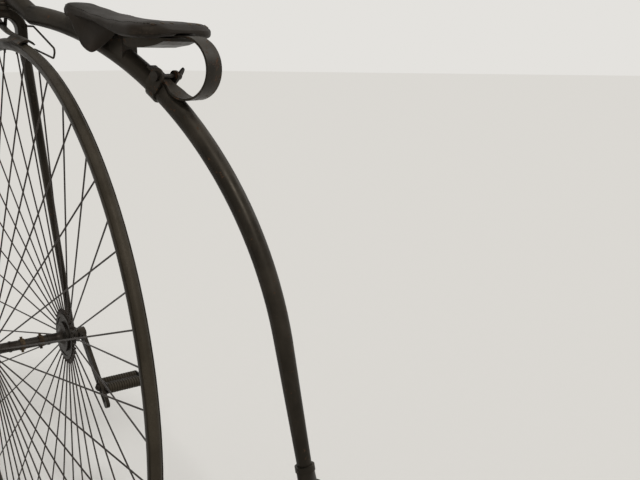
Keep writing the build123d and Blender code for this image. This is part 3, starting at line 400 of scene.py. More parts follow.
def turned(shape, profile, place, around=24):
    """Adds a turned solid: the profile's radii and heights go round the place's Z axis."""
    rings = []
    for radius, height in profile:
        if radius <= 1e-7:
            rings.append([shape.verts.new(place @ Vector((0, 0, height)))])
            continue
        rings.append([shape.verts.new(place @ Vector((
            radius * cos(2 * pi * i / around), radius * sin(2 * pi * i / around), height)))
            for i in range(around)])
    for low, high in zip(rings, rings[1:]):
        for i in range(around):
            j = (i + 1) % around
            corners = [low[i % len(low)], low[j % len(low)], high[j % len(high)], high[i % len(high)]]
            corners = list(dict.fromkeys(corners))
            if len(corners) > 2:
                shape.faces.new(corners)
    for ring in (rings[0], rings[-1]):
        if len(ring) > 2:
            shape.faces.new(ring)


def hexagon(shape, across_flats, low, high, place, crown=0.0):
    """Adds a six-sided nut or bolt head with a turned crown on top."""
    corner = across_flats / sqrt(3)
    inner = 0.47 * across_flats
    rims = []
    for scale, height in ((corner, low), (corner, high - crown), (inner, high)):
        rims.append([shape.verts.new(place @ Vector((
            scale * cos(radians(60 * i)), scale * sin(radians(60 * i)), height)))
            for i in range(6)])
    for bottom, top in zip(rims, rims[1:]):
        for i in range(6):
            shape.faces.new((bottom[i], bottom[(i + 1) % 6], top[(i + 1) % 6], top[i]))
    shape.faces.new(rims[0])
    shape.faces.new(rims[-1])


def along(origin, way):
    """A matrix at a place whose Z axis points along a way."""
    turn = Vector(way).normalized().to_track_quat("Z", "Y").to_matrix().to_4x4()
    return Matrix.Translation(Vector(origin)) @ turn


def shown(data):
    """Links a mesh, a line, a light or a camera as an object."""
    obj = bpy.data.objects.new(data.name, data)
    bpy.context.scene.collection.objects.link(obj)
    return obj


# Copies round a ring and along a line

def socket_id(tree, label):
    return next(item.identifier for item in tree.interface.items_tree if item.name == label)


def tree_of_copies(name, sizes_asked, spots):
    """Builds a tree that sets copies of a small solid where spots() puts points and turns."""
    if name in bpy.data.node_groups:
        return bpy.data.node_groups[name]
    tree = bpy.data.node_groups.new(name, "GeometryNodeTree")
    for label, kind in (*sizes_asked, ("Copy", "Object"), ("Finish", "Material")):
        tree.interface.new_socket(name=label, in_out="INPUT", socket_type=f"NodeSocket{kind}")
    tree.interface.new_socket(name="Result", in_out="OUTPUT", socket_type="NodeSocketGeometry")
    given = put(tree, "NodeGroupInput").outputs
    copy = put(tree, "GeometryNodeObjectInfo", {"Object": given["Copy"]}).outputs["Geometry"]
    placed = put(tree, "GeometryNodeInstanceOnPoints", {
        "Instance": copy, **spots(tree, given)}).outputs[0]
    real = put(tree, "GeometryNodeRealizeInstances", {"Geometry": placed}).outputs[0]
    painted = put(tree, "GeometryNodeSetMaterial", {
        "Geometry": real, "Material": given["Finish"]}).outputs[0]
    put(tree, "NodeGroupOutput", {"Result": painted})
    return tree


def ring_of_copies():
    """The tree that sets copies round a hub, evenly spaced and turned outwards."""
    def spots(tree, given):
        index = put(tree, "GeometryNodeInputIndex").outputs[0]
        step = maths(tree, "DIVIDE", 2 * pi, given["Count"])
        angle = maths(tree, "MULTIPLY_ADD", index, step, given["First angle"])
        spot = put(tree, "ShaderNodeCombineXYZ", {
            "X": maths(tree, "MULTIPLY", maths(tree, "COSINE", angle), given["Radius"]),
            "Y": maths(tree, "MULTIPLY", maths(tree, "SINE", angle), given["Radius"]),
            "Z": given["Height"]}).outputs[0]
        points = put(tree, "GeometryNodePoints", {"Count": given["Count"], "Position": spot})
        turn = put(tree, "ShaderNodeCombineXYZ", {"Z": angle}).outputs[0]
        turn = put(tree, "FunctionNodeEulerToRotation", {0: turn}).outputs[0]
        return {"Points": points.outputs[0], "Rotation": turn}

    return tree_of_copies("Copies round a hub", (
        ("Count", "Int"), ("Radius", "Float"), ("First angle", "Float"), ("Height", "Float")), spots)


def row_of_copies():
    """The tree that sets copies along a line and turns them with it."""
    def spots(tree, given):
        line = put(tree, "GeometryNodeObjectInfo", {"Object": given["Line"]}).outputs["Geometry"]
        points = put(tree, "GeometryNodeCurveToPoints", {
            "Curve": line, "Length": given["Spacing"]}, mode="LENGTH").outputs
        return {"Points": points["Points"], "Rotation": points["Rotation"]}

    return tree_of_copies("Copies along a line", (("Line", "Object"), ("Spacing", "Float")), spots)


def ridges_in_a_row():
    """The tree that sets a number of copies side by side along X, centred."""
    def spots(tree, given):
        index = put(tree, "GeometryNodeInputIndex").outputs[0]
        middle = maths(tree, "MULTIPLY", maths(tree, "SUBTRACT", given["Count"], 1.0), 0.5)
        x = maths(tree, "MULTIPLY", maths(tree, "SUBTRACT", index, middle), given["Spacing"])
        spot = put(tree, "ShaderNodeCombineXYZ", {"X": x}).outputs[0]
        points = put(tree, "GeometryNodePoints", {"Count": given["Count"], "Position": spot})
        return {"Points": points.outputs[0]}

    return tree_of_copies("Ridges in a row", (("Count", "Int"), ("Spacing", "Float")), spots)


def copies(name, tree, values, place=None):
    """Runs a tree of copies once and returns its plain mesh, set in its place."""
    carrier = shown(bpy.data.meshes.new(name))
    modifier = carrier.modifiers.new("Copies", "NODES")
    modifier.node_group = tree
    for label, value in values.items():
        modifier[socket_id(tree, label)] = value
    bpy.context.view_layer.update()
    graph = bpy.context.evaluated_depsgraph_get()
    mesh = bpy.data.meshes.new_from_object(carrier.evaluated_get(graph))
    carrier.modifiers.clear()
    if place is not None:
        mesh.transform(place)
    bpy.data.objects.remove(carrier)
    mesh.name = name
    return mesh


def joined(name, meshes):
    """Joins several plain meshes into one."""
    shape = bmesh.new()
    for mesh in meshes:
        shape.from_mesh(mesh)
        bpy.data.meshes.remove(mesh)
    mesh = bpy.data.meshes.new(name)
    shape.to_mesh(mesh)
    shape.free()
    return mesh


def along_line(name, points, spacing, solid, finish, place):
    """A row of copies of a solid along a line through points, as one plain mesh in its place."""
    curve = bpy.data.curves.new(name + "_line", "CURVE")
    curve.dimensions = "3D"
    spline = curve.splines.new("POLY")
    spline.points.add(len(points) - 1)
    for spot, point in zip(spline.points, points):
        spot.co = (*point, 1.0)
    line = shown(curve)
    mesh = copies(name, row_of_copies(), {
        "Line": line, "Spacing": spacing, "Copy": solid, "Finish": FINISHES[finish]}, place)
    bpy.data.objects.remove(line)
    return mesh


def small_solid(name, build):
    """A solid to be copied, built round its own origin."""
    shape = bmesh.new()
    build(shape)
    return shown(mesh_from(name, shape))


# A wheel's axis is its local Y, and copies go round a tree's Z: this turns one into the other.
# Angles then run rearward from the hub and upwards, as they do in the part's source.
ROUND_AXLE = Matrix(((-1, 0, 0, 0), (0, 0, 1, 0), (0, 1, 0, 0), (0, 0, 0, 1)))


class HIGHWHEEL_OT_finishes(bpy.types.Operator):
    """Builds the finishes and puts one on every node of the frame"""
    bl_idname = "high_wheel.finishes"
    bl_label = "Finishes"

    def execute(self, context):
        c = colours()
        FINISHES["black_enamel"] = worn_enamel(
            "Worn black enamel", c.enamel, c.enamel_dust, c.rust, c.dust)
        FINISHES["spring_steel"] = worn_enamel(
            "Worn black on sprung steel", c.enamel, c.steel, c.rust, c.dust, 0.59)
        FINISHES["bare_steel"] = dark_steel("Dark bare steel", c.steel, c.wire)
        FINISHES["spoke_wire"] = dark_steel("Browned spoke wire", c.wire, scaled(c.wire, 1.6), 0.35)
        FINISHES["stud_brass"] = dark_steel("Tarnished stud brass", c.brass, c.wire, 0.85)
        FINISHES["tyre_rubber"] = aged_rubber("Aged tyre rubber", c.rubber, c.dust)
        FINISHES["pedal_rubber"] = aged_rubber("Pedal rubber", c.rubber, c.dust)
        FINISHES["saddle_hide"] = old_hide("Old saddle hide", c.hide, c.hide_worn)
        FINISHES["grip_wood"] = stained_wood("Stained grip wood", c.grip_wood)
        for entry in frame["record"]["subparts"]:
            node = frame["nodes"][entry["node"]]
            for holder in node.material_slots:
                holder.material = FINISHES[entry["material_slot"]]
        return {"FINISHED"}


class HIGHWHEEL_OT_spoke_ends(bpy.types.Operator):
    """Sets the threaded root of each wire in the flanges and its headed nipple in the rims"""
    bl_idname = "high_wheel.spoke_ends"
    bl_label = "Spoke ends"

    def execute(self, context):
        s = sizes()
        self.wheel("front", FRONT, s.front_spokes, s.flange, s.flange_mid, s.rim_floor, s.wire)
        self.wheel("rear", REAR, s.rear_spokes, s.rear_flange, s.rear_flange_mid,
                   s.rear_rim_floor, s.rear_wire)
        return {"FINISHED"}

    def wheel(self, label, place, count, flange, flange_mid, floor_r, wire_r):
        s = sizes()
        lean = atan2(flange_mid - s.rim_spread, floor_r - flange)
        parts = []
        for side in (1, -1):
            tilt = Matrix.Rotation(-side * lean, 4, "Y")

            def root(shape):
                axis = tilt @ Matrix.Rotation(pi / 2, 4, "Y")
                turned(shape, (
                    (1.30 * wire_r, -0.0006), (1.30 * wire_r, 0.0100), (0.98 * wire_r, 0.0112)), axis, 8)

            def nipple(shape):
                axis = tilt @ Matrix.Rotation(-pi / 2, 4, "Y")
                turned(shape, (
                    (1.75 * wire_r, -0.0004), (1.75 * wire_r, 0.0010), (1.30 * wire_r, 0.0026),
                    (0.98 * wire_r, 0.0060)), axis, 8)

            # The two flanges take turns: every second wire leans to the other side
            first = s.first_spoke + (0 if side > 0 else 2 * pi / count)
            for kind, build, radius, height in (
                    ("root", root, flange, side * flange_mid),
                    ("nipple", nipple, floor_r, side * s.rim_spread)):
                solid = small_solid(f"{label}_{kind}_{'left' if side > 0 else 'right'}", build)
                parts.append(copies(solid.name + "_ring", ring_of_copies(), {
                    "Count": count // 2, "Radius": radius, "First angle": first,
                    "Height": height, "Copy": solid, "Finish": FINISHES["spoke_wire"]},
                    place @ ROUND_AXLE))
                bpy.data.objects.remove(solid)
        name = f"{label}_spoke_ends"
        add_piece(name, joined(name, parts), "spoke_wire", f"{label}_wheel", 40)


# The saddle, from the front hub

SEAT_STATIONS = (
    # share of the length, place, half width, top, underside
    (0.000, -0.2118, 0.0090, 0.7110, 0.7020),
    (0.015, -0.2132, 0.0200, 0.7165, 0.6990),
    (0.060, -0.2220, 0.0325, 0.7225, 0.6950),
    (0.130, -0.2390, 0.0410, 0.7225, 0.6920),
    (0.230, -0.2640, 0.0445, 0.7145, 0.6900),
    (0.340, -0.2960, 0.0510, 0.7045, 0.6870),
    (0.470, -0.3370, 0.0615, 0.6955, 0.6780),
    (0.600, -0.3800, 0.0740, 0.6900, 0.6625),
    (0.730, -0.4180, 0.0860, 0.6870, 0.6540),
    (0.840, -0.4500, 0.0930, 0.6855, 0.6515),
    (0.920, -0.4720, 0.0890, 0.6838, 0.6515),
    (0.970, -0.4870, 0.0760, 0.6795, 0.6530),
    (0.992, -0.4945, 0.0600, 0.6740, 0.6560),
    (1.000, -0.4970, 0.0460, 0.6690, 0.6610),
)
SEAT_WIDEST = 0.42  # where the roll stands out most, as a share of the height
SEAT_SIDE, SEAT_CROWN, SEAT_ROLL, TAIL_ROLL = 0.62, 0.80, 0.55, 0.42  # fullness: less is squarer
TAIL_FROM, TAIL_TO = 0.50, 0.70
DISH_FROM, DISH = 0.45, 0.0045
WAVE, WAVES_ALONG, WAVES_ROUND = 0.0009, 37, 5
LEAF_CLEAR, OVER_LEAF = 0.028, 0.6612
PAD_CLEAR, OVER_PAD = 0.050, 0.6562

FLAP_HEM = (
    # share of the way rearward, place, height
    (0.00, -0.2445, 0.6980),
    (0.07, -0.2500, 0.6890),
    (0.14, -0.2555, 0.6730),
    (0.20, -0.2590, 0.6610),
    (0.26, -0.2655, 0.6560),
    (0.33, -0.2670, 0.6480),
    (0.40, -0.2740, 0.6400),
    (0.54, -0.2880, 0.6325),
    (0.65, -0.3000, 0.6285),
    (0.74, -0.3120, 0.6325),
    (0.84, -0.3370, 0.6460),
    (0.92, -0.3580, 0.6600),
    (1.00, -0.3740, 0.6735),
)
FLAP_SEAM = ((-0.2400, 0.7040), (-0.3740, 0.6810))
FLAP_OUT, FLAP_BELLY, HIDE_T = 0.0385, 0.0034, 0.0040
FLAP_WAVE, FLAP_WAVES_ALONG, FLAP_WAVES_DOWN = 0.0018, 9, 2.2


def round_the_seat(u):
    """Place, half width, top and underside of the seat at u, from the nose 0 to the tail 1."""
    for before, after in zip(SEAT_STATIONS, SEAT_STATIONS[1:]):
        if u <= after[0]:
            break
    share = (u - before[0]) / (after[0] - before[0])
    return tuple(a + share * (b - a) for a, b in zip(before[1:], after[1:]))


class HIGHWHEEL_OT_saddle(bpy.types.Operator):
    """Models the hide saddle: crowned seat, rolled edge, side flaps, stitches and rivets"""
    bl_idname = "high_wheel.saddle"
    bl_label = "Hide saddle"

    lengthwise = 44
    across = 40
    drops = 8

    def execute(self, context):
        seat = self.seat()
        flaps = [self.flap(side) for side in (1, -1)]
        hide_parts("saddle_leather")
        for flap in flaps:
            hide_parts("saddle_leather")
        self.seams()
        self.rivets()
        return {"FINISHED"}

    def edge(self, u, turn, grow=0.0):
        """A point of the seat's skin, turn 0 at the left edge and a quarter turn on top."""
        x, half, top, low = round_the_seat(u)
        middle = low + SEAT_WIDEST * (top - low)
        half += grow
        y = half * abs(cos(turn)) ** SEAT_SIDE * (1 if cos(turn) >= 0 else -1)
        rise = sin(turn)
        if rise >= 0:
            dish = DISH * max(0.0, u - DISH_FROM) * (1 - (y / half) ** 2) * rise
            z = middle + (top - middle + grow) * rise ** SEAT_CROWN - dish
        else:
            tail = min(1.0, max(0.0, (u - TAIL_FROM) / (TAIL_TO - TAIL_FROM)))
            fullness = SEAT_ROLL + (TAIL_ROLL - SEAT_ROLL) * tail
            z = middle - (middle - low + grow) * abs(rise) ** fullness
            if tail > 0:
                z = max(z, self.hollow(abs(y)))
        wave = WAVE * sin(WAVES_ALONG * u + WAVES_ROUND * turn) * abs(cos(turn))
        return Vector((x, y, z + wave))

    def hollow(self, out):
        """The lowest that the underside may reach at a distance from the middle: over leaf and pad."""
        if out < LEAF_CLEAR:
            return OVER_LEAF
        return OVER_PAD if out < PAD_CLEAR else 0.0

    def seat(self):
        shape = bmesh.new()
        rings = []
        for i in range(self.lengthwise + 1):
            u = 0.5 - 0.5 * cos(pi * i / self.lengthwise)
            rings.append([shape.verts.new(self.edge(u, 2 * pi * j / self.across))
                          for j in range(self.across)])
        for low, high in zip(rings, rings[1:]):
            for j in range(self.across):
                k = (j + 1) % self.across
                shape.faces.new((low[j], low[k], high[k], high[j]))
        shape.faces.new(rings[0])
        shape.faces.new(rings[-1])
        mesh = mesh_from("saddle_seat", shape, BIKE)
        piece = add_piece("saddle_seat", mesh, "saddle_hide", "frame")
        self.rounded(piece, 1)
        return piece

    def flap(self, side):
        """A hide flap that hangs from the nose's side, tucked under the rolled edge."""
        (front_x, front_z), (back_x, back_z) = FLAP_SEAM
        shape = bmesh.new()
        rows = []
        for share, hem_x, hem_z in FLAP_HEM:
            seam_x = front_x + share * (back_x - front_x)
            seam_z = front_z + share * (back_z - front_z)
            row = []
            for i in range(self.drops + 1):
                down = i / self.drops
                wave = FLAP_WAVE * sin(FLAP_WAVES_ALONG * share + FLAP_WAVES_DOWN * down)
                y = FLAP_OUT + FLAP_BELLY * sin(pi * down) + wave
                row.append(shape.verts.new((
                    seam_x + down * (hem_x - seam_x), side * y, seam_z + down * (hem_z - seam_z))))
            rows.append(row)
        for ahead, behind in zip(rows, rows[1:]):
            for i in range(self.drops):
                shape.faces.new((ahead[i], ahead[i + 1], behind[i + 1], behind[i]))
        mesh = mesh_from(f"saddle_flap_{'left' if side > 0 else 'right'}", shape, BIKE)
        if mesh.polygons[0].normal.y * side < 0:
            mesh.flip_normals()
        piece = add_piece(mesh.name, mesh, "saddle_hide", "frame")
        wall = piece.modifiers.new("Hide", "SOLIDIFY")
        wall.thickness = HIDE_T
        wall.offset = 0.0
        self.rounded(piece, 2)
        return piece

    def rounded(self, piece, levels):
        smooth = piece.modifiers.new("Rounding", "SUBSURF")
        smooth.levels = levels
        smooth.render_levels = levels

    def seams(self):
        """A sewn row just inside the rolled edge, on both sides of the seat."""
        def stitch(shape):
            turned(shape, ((0.0, -0.0021), (0.00055, -0.0016), (0.00062, 0.0),
                           (0.00055, 0.0016), (0.0, 0.0021)), Matrix.Identity(4), 6)

        solid = small_solid("saddle_stitch", stitch)
        start, end, steps = 0.03, 0.97, 90
        rows = []
        for turn in (radians(38), radians(142)):
            points = [self.edge(start + (end - start) * i / steps, turn, 0.0002)
                      for i in range(steps + 1)]
            rows.append(along_line("saddle_seam", points, sizes().stitch, solid, "saddle_hide", BIKE))
        bpy.data.objects.remove(solid)
        add_piece("saddle_stitches", joined("saddle_stitches", rows), "saddle_hide", "frame")

    def rivets(self):
        """Domed rivets that hold the hide on the tail plate and at the nose."""
        shape = bmesh.new()
        at_tail, at_nose = 0.955, 0.035
        near, beside_by = 0.01, 0.05
        spots = [(at_tail, radians(deg)) for deg in (39.7, 66.2, 82.6, 97.4, 113.8, 140.3)]
        spots += [(at_nose, radians(deg)) for deg in (62, 90, 118)]
        for u, turn in spots:
            at = self.edge(u, turn)
            ahead = self.edge(u + near, turn) - self.edge(u - near, turn)
            beside = self.edge(u, turn + beside_by) - self.edge(u, turn - beside_by)
            way = beside.cross(ahead)
            way = way if way.z > 0 else -way
            turned(shape, ((0.0046, -0.0006), (0.0046, 0.0002), (0.0034, 0.0008),
                           (0.0016, 0.0011), (0.0, 0.0012)), along(at, way), 14)
        mesh = mesh_from("saddle_rivets", shape, BIKE)
        add_piece("saddle_rivets", mesh, "stud_brass", "frame")


class HIGHWHEEL_OT_fasteners(bpy.types.Operator):
    """Models nuts, bolts, cotter pins, flange screws, oil cups and the beads of the head"""
    bl_idname = "high_wheel.fasteners"
    bl_label = "Fasteners"

    def execute(self, context):
        self.steering()
        self.front_wheel()
        self.head_rings()
        self.frame_bolts()
        return {"FINISHED"}

    def steering(self):
        """The stem's bolt, the bolts and oil cup of each bearing, and the lever's pivot."""
        shape = bmesh.new()
        nut_top = STEM_TOP + 0.010
        hexagon(shape, 0.026, STEM_TOP, nut_top, Matrix.Identity(4), 0.003)
        turned(shape, ((0.0062, nut_top), (0.0058, nut_top + 0.0025), (0.0, nut_top + 0.0045)),
               Matrix.Identity(4), 20)
        cap_apart, cap_height = 0.0092, -0.0138
        oiler_place, oiler_height = -0.0164, 0.004
        for side in (1, -1):
            for x in (cap_apart, -cap_apart):
                cap = along((x, side * BEARING_OUT, cap_height), (0, 0, -1))
                hexagon(shape, 0.0078, -0.0010, 0.0048, cap, 0.0010)
            oiler = along((oiler_place, side * BEARING_OUT, oiler_height), (-1, 0, 0.25))
            turned(shape, ((0.0032, -0.001), (0.0032, 0.0040), (0.0024, 0.0052), (0.0, 0.0056)),
                   oiler, 14)
        lever_pivot = along((0.041, 0.016, 0.8112), (0, 0, -1))
        hexagon(shape, 0.0100, -0.0004, 0.0046, lever_pivot, 0.0012)
        mesh = mesh_from("steering_fasteners", shape, FRONT)
        add_piece("steering_fasteners", mesh, "bare_steel", "steering", 32)

    def front_wheel(self):
        """Axle ends, cotter pins, pedal nuts behind the cranks, and the flanges' screws."""
        shape = bmesh.new()
        cotter_off, cotter_back = 0.0092, 0.0150
        for side, angle in CRANK_ANGLES.items():
            end = along((0, side * AXLE_END_OUT, 0), (0, side, 0))
            turned(shape, ((0.0078, -0.0004), (0.0074, 0.0009), (0.0050, 0.0015), (0.0, 0.0016)),
                   end, 20)
            arm = Vector((-cos(angle), 0, sin(angle)))
            square = Vector((arm.z, 0, -arm.x))
            boss = Vector((0, side * CRANK_MID_OUT, 0))
            cotter = along(boss + arm * cotter_off - square * cotter_back, square)
            turned(shape, ((0.0, -0.0022), (0.0030, -0.0020), (0.0036, 0.0262), (0.0050, 0.0264),
                           (0.0050, 0.0298), (0.0034, 0.0312), (0.0, 0.0314)), cotter, 14)
            foot = along(arm * PEDAL_REACH + Vector((0, side * CRANK_FACE_OUT, 0)), (0, -side, 0))
            hexagon(shape, 0.0146, -0.0030, 0.0026, foot, 0.0010)
            turned(shape, ((0.0040, 0.0024), (0.0040, 0.0042), (0.0030, 0.0050), (0.0, 0.0052)),
                   foot, 14)
        mesh = mesh_from("crank_fasteners", shape, FRONT)
        add_piece("crank_fasteners", mesh, "bare_steel", "front_wheel", 32)

        def screw(shape):
            turned(shape, ((0.0030, -0.0004), (0.0030, 0.0011), (0.0021, 0.0019), (0.0, 0.0021)),
                   Matrix.Identity(4), 12)

        screws, screws_r, screws_out, first = 6, 0.0440, 0.0839, 0.3
        rings = []
        for side in (1, -1):
            solid = small_solid("flange_screw", screw)
            if side < 0:
                solid.data.transform(Matrix.Rotation(pi, 4, "X"))
            rings.append(copies("flange_screws", ring_of_copies(), {
                "Count": screws, "Radius": screws_r, "First angle": first,
                "Height": side * screws_out, "Copy": solid,
                "Finish": FINISHES["bare_steel"]}, FRONT @ ROUND_AXLE))
            bpy.data.objects.remove(solid)
        add_piece("flange_screws", joined("flange_screws", rings), "bare_steel", "front_wheel", 40)

    def head_rings(self):
        """The beads at both ends of the steering head and the oil cup on its side."""
        shape = bmesh.new()
        bead = ((0.0206, 0.0), (0.0224, 0.0003), (0.0226, 0.0032), (0.0218, 0.0048), (0.0206, 0.0052))
        for z, way in ((HEAD_BOTTOM, 1), (HEAD_TOP, -1)):
            turned(shape, [(radius, z + way * height) for radius, height in bead],
                   Matrix.Identity(4), 40)
        cup_height = 0.7790
        cup = along((HEAD_SIDE, 0, cup_height), (1, 0, 0.3))
        turned(shape, ((0.0042, -0.0010), (0.0042, 0.0030), (0.0050, 0.0036), (0.0050, 0.0066),
                       (0.0038, 0.0080), (0.0, 0.0084)), cup, 18)
        mesh = mesh_from("head_rings", shape, FRONT)
        add_piece("head_rings", mesh, "black_enamel", "frame", 40)

    def frame_bolts(self):
        shape = bmesh.new()
        for side in (1, -1):
            end = along((0, side * REAR_AXLE_OUT, 0), (0, side, 0))
            hexagon(shape, 0.0212, 0.0004, 0.0090, end, 0.0018)
            turned(shape, ((0.0046, 0.0086), (0.0046, 0.0112), (0.0034, 0.0124), (0.0, 0.0126)),
                   end, 18)
        mesh = mesh_from("rear_axle_nuts", shape, REAR)
        add_piece("rear_axle_nuts", mesh, "bare_steel", "frame", 32)


class HIGHWHEEL_OT_holds(bpy.types.Operator):
    """Models what hands and feet hold: ribbed pedal rubbers, grip ferrules and the step's tread"""
    bl_idname = "high_wheel.holds"
    bl_label = "Pedals, grips and step"

    def execute(self, context):
        for side, name in ((1, "left"), (-1, "right")):
            self.pedal(side, name)
        self.ferrules()
        self.tread()
        return {"FINISHED"}

    def pedal(self, side, name):
        """Two rubber bars with a rib every few millimetres, on plain cores, and their nuts."""
        s = sizes()
        angle = CRANK_ANGLES[side]
        middle_x = -PEDAL_REACH * cos(angle)
        middle_z = PEDAL_REACH * sin(angle)
        bars_x = [middle_x + apart for apart in PEDAL_BARS_AT]
        long = PEDAL_OUT - PEDAL_IN
        pitch = long / round(long / s.rib)
        spacing = 0.999 * pitch  # a hair less, so that rounding never drops the last rib
        core_r = s.pedal_rubber - s.rib_height

        def rib(shape):
            half = 0.5 * pitch
            turned(shape, (
                (0.55 * core_r, -0.80 * half), (core_r, -0.78 * half), (s.pedal_rubber, -0.50 * half),
                (s.pedal_rubber, 0.50 * half), (core_r, 0.78 * half), (0.55 * core_r, 0.80 * half),
            ), Matrix.Identity(4), 28)

        solid = small_solid("pedal_rib", rib)
        cores = bmesh.new()
        nuts = bmesh.new()
        rows = []
        for x in bars_x:
            first, last = PEDAL_IN + 0.5 * pitch, PEDAL_OUT - 0.5 * pitch
            ends = [(x, side * first, middle_z), (x, side * last, middle_z)]
            rows.append(along_line("pedal_ribs", ends, spacing, solid, "pedal_rubber", FRONT))
            start = along((x, side * PEDAL_IN, middle_z), (0, side, 0))
            turned(cores, ((core_r, 0.0), (core_r, long)), start, 28)
            for y, way in ((PEDAL_IN - PEDAL_PLATE_T, -1), (PEDAL_OUT + PEDAL_PLATE_T, 1)):
                spot = along((x, side * y, middle_z), (0, side * way, 0))
                hexagon(nuts, 0.0090, -0.0006, 0.0034, spot, 0.0010)
                turned(nuts, ((0.0026, 0.0030), (0.0026, 0.0046), (0.0, 0.0050)), spot, 12)
        bpy.data.objects.remove(solid)
        rows.append(mesh_from("pedal_cores", cores, FRONT))
        body = f"pedal_{name}"
        blocks = f"pedal_blocks_{name}"
        piece = add_piece(blocks, joined(blocks, rows), "pedal_rubber", body, 40)
        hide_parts(f"pedal_rubbers_{name}")
        mesh = mesh_from(f"pedal_nuts_{name}", nuts, FRONT)
        add_piece(f"pedal_nuts_{name}", mesh, "bare_steel", body, 32)

    def ferrules(self):
        """A steel ferrule at each grip's root and a small button on its end."""
        shape = bmesh.new()
        for side in (1, -1):
            mirror = Matrix.Diagonal((1, side, 1))
            root = mirror @ GRIP_ROOT
            way = (root - mirror @ GRIP_KNEE).normalized()
            turned(shape, ((0.0108, -0.0035), (0.0128, -0.0028), (0.0133, 0.0010), (0.0130, 0.0052),
                           (0.0118, 0.0058)), along(root, way), 28)
            turned(shape, ((0.0072, -0.0010), (0.0074, 0.0012), (0.0050, 0.0030), (0.0, 0.0036)),
                   along(root + GRIP_LENGTH * way, way), 24)
        mesh = mesh_from("grip_ferrules", shape, FRONT)
        add_piece("grip_ferrules", mesh, "bare_steel", "steering", 50)

    def tread(self):
        """Ridges filed across the mounting step, so that a wet sole holds."""
        step = next(m for m in frame["record"]["mounts"] if m["name"] == "mounting_step")
        up = Vector(step["axis"]).normalized()
        place = axes_at(Vector(step["pos_m"]), Vector((0, 1, 0)), up)

        def ridge(shape):
            foot, crest, half_wide, tall, sunk = 0.0146, 0.0140, 0.0012, 0.0013, 0.0003
            corners = ((-foot, -half_wide, -sunk), (-foot, half_wide, -sunk), (-crest, 0.0, tall - sunk))
            near = [shape.verts.new((x, y, z)) for x, y, z in corners]
            far = [shape.verts.new((-x, y, z)) for x, y, z in corners]
            for i in range(3):
                j = (i + 1) % 3
                shape.faces.new((near[i], near[j], far[j], far[i]))
            shape.faces.new(near)
            shape.faces.new(far)

        solid = small_solid("step_ridge", ridge)
        solid.data.transform(Matrix.Rotation(pi / 2, 4, "Z"))
        mesh = copies("step_tread", ridges_in_a_row(), {
            "Count": 8, "Spacing": 0.0040, "Copy": solid, "Finish": FINISHES["black_enamel"]}, place)
        bpy.data.objects.remove(solid)
        add_piece("step_tread", mesh, "black_enamel", "frame", 20)


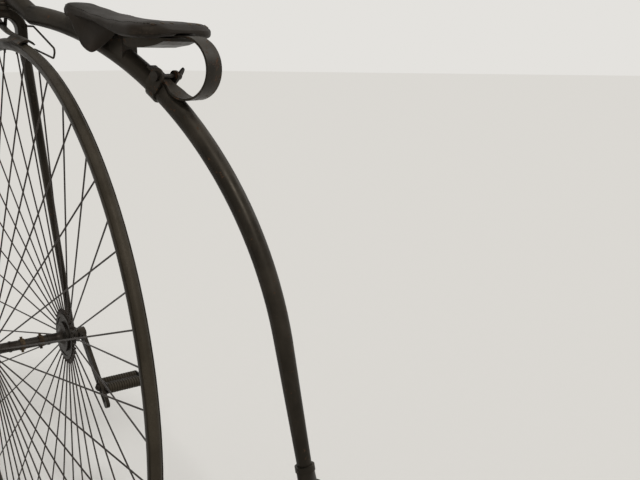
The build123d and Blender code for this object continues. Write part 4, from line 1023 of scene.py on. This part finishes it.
class HIGHWHEEL_OT_studio(bpy.types.Operator):
    """Sets the pale floor, the soft lights and the camera at the photograph's angle"""
    bl_idname = "high_wheel.studio"
    bl_label = "Studio"

    def execute(self, context):
        self.floor()
        self.world()
        self.lights()
        self.camera()
        context.scene.view_settings.view_transform = "Standard"
        return {"FINISHED"}

    def floor(self):
        material, _, shader, _ = finish_tree("Studio floor")
        shader.inputs["Base Color"].default_value = rgba(colours().floor)
        shader.inputs["Roughness"].default_value = 0.9
        shader.inputs["Specular IOR Level"].default_value = 0.0
        shape = bmesh.new()
        reach = 60.0
        corners = [shape.verts.new((x, y, FLOOR_Z)) for x, y in
                   ((-reach, -reach), (reach, -reach), (reach, reach), (-reach, reach))]
        shape.faces.new(corners)
        mesh = bpy.data.meshes.new("studio_floor")
        shape.to_mesh(mesh)
        shape.free()
        mesh.materials.append(material)
        shown(mesh)

    def world(self):
        world = bpy.data.worlds.new("Studio air")
        world.use_nodes = True
        tree = world.node_tree
        tree.nodes.clear()
        out = put(tree, "ShaderNodeOutputWorld")
        warm_white, backdrop = (1.0, 0.985, 0.955), (0.775, 0.760, 0.730)
        fill = put(tree, "ShaderNodeBackground", {"Color": rgba(warm_white), "Strength": 0.50})
        seen = put(tree, "ShaderNodeBackground", {"Color": rgba(backdrop), "Strength": 1.0})
        ray = put(tree, "ShaderNodeLightPath").outputs
        direct = maths(tree, "MAXIMUM", ray["Is Camera Ray"], ray["Is Glossy Ray"])
        either = maths(tree, "MAXIMUM", direct, ray["Is Transmission Ray"])
        mixed = put(tree, "ShaderNodeMixShader", {
            0: either, 1: fill.outputs[0], 2: seen.outputs[0]})
        tree.links.new(mixed.outputs[0], out.inputs["Surface"])
        bpy.context.scene.world = world

    def lights(self):
        away = 2.0
        for name, toward, power, spread in (
                ("key", (0.75, -0.55, -0.85), 1.45, 9.0),
                ("side", (0.35, 0.85, -0.55), 0.45, 30.0)):
            data = bpy.data.lights.new(name, "SUN")
            data.energy = power
            data.angle = radians(spread)
            lamp = shown(data)
            lamp.location = (-away * toward[0], -away * toward[1], away)
            lamp.rotation_euler = Vector(toward).to_track_quat("-Z", "Y").to_euler()

    def camera(self):
        data = bpy.data.cameras.new("photo_view")
        data.lens = 46.63
        data.sensor_width = 36.0
        camera = shown(data)
        from_hub = Vector((-1.497, 1.117, 0.622))
        camera.location = FRONT_HUB + from_hub
        ahead, across, dip = 0.5446, -0.8387, radians(12.46)
        look = Vector((ahead * cos(dip), across * cos(dip), -sin(dip)))
        camera.rotation_euler = look.to_track_quat("-Z", "Y").to_euler()
        bpy.context.scene.camera = camera


PIECE_OPERATORS = (
    HIGHWHEEL_OT_finishes,
    HIGHWHEEL_OT_spoke_ends,
    HIGHWHEEL_OT_saddle,
    HIGHWHEEL_OT_fasteners,
    HIGHWHEEL_OT_holds,
    HIGHWHEEL_OT_studio,
)


class HIGHWHEEL_PT_sidebar(bpy.types.Panel):
    """Lists the bicycle's colours, sizes and pieces"""
    bl_idname = "HIGHWHEEL_PT_sidebar"
    bl_label = "High-wheel bicycle"
    bl_space_type = "VIEW_3D"
    bl_region_type = "UI"
    bl_category = "High Wheel"

    def draw(self, context):
        layout = self.layout
        for group in (context.scene.high_wheel_colours, context.scene.high_wheel_sizes):
            column = layout.column(align=True)
            for key in group.__annotations__:
                column.prop(group, key)
        for operator in PIECE_OPERATORS:
            layout.operator(operator.bl_idname)


CLASSES = (HighWheelColours, HighWheelSizes, *PIECE_OPERATORS, HIGHWHEEL_PT_sidebar)


def register():
    for kind in CLASSES:
        bpy.utils.register_class(kind)
    bpy.types.Scene.high_wheel_colours = bpy.props.PointerProperty(type=HighWheelColours)
    bpy.types.Scene.high_wheel_sizes = bpy.props.PointerProperty(type=HighWheelSizes)


def unregister():
    del bpy.types.Scene.high_wheel_sizes
    del bpy.types.Scene.high_wheel_colours
    for kind in reversed(CLASSES):
        bpy.utils.unregister_class(kind)


def main():
    register()
    bpy.ops.high_wheel.finishes()
    bpy.ops.high_wheel.spoke_ends()
    bpy.ops.high_wheel.saddle()
    bpy.ops.high_wheel.fasteners()
    bpy.ops.high_wheel.holds()
    bpy.ops.high_wheel.studio()


if __name__ == "__main__":
    main()
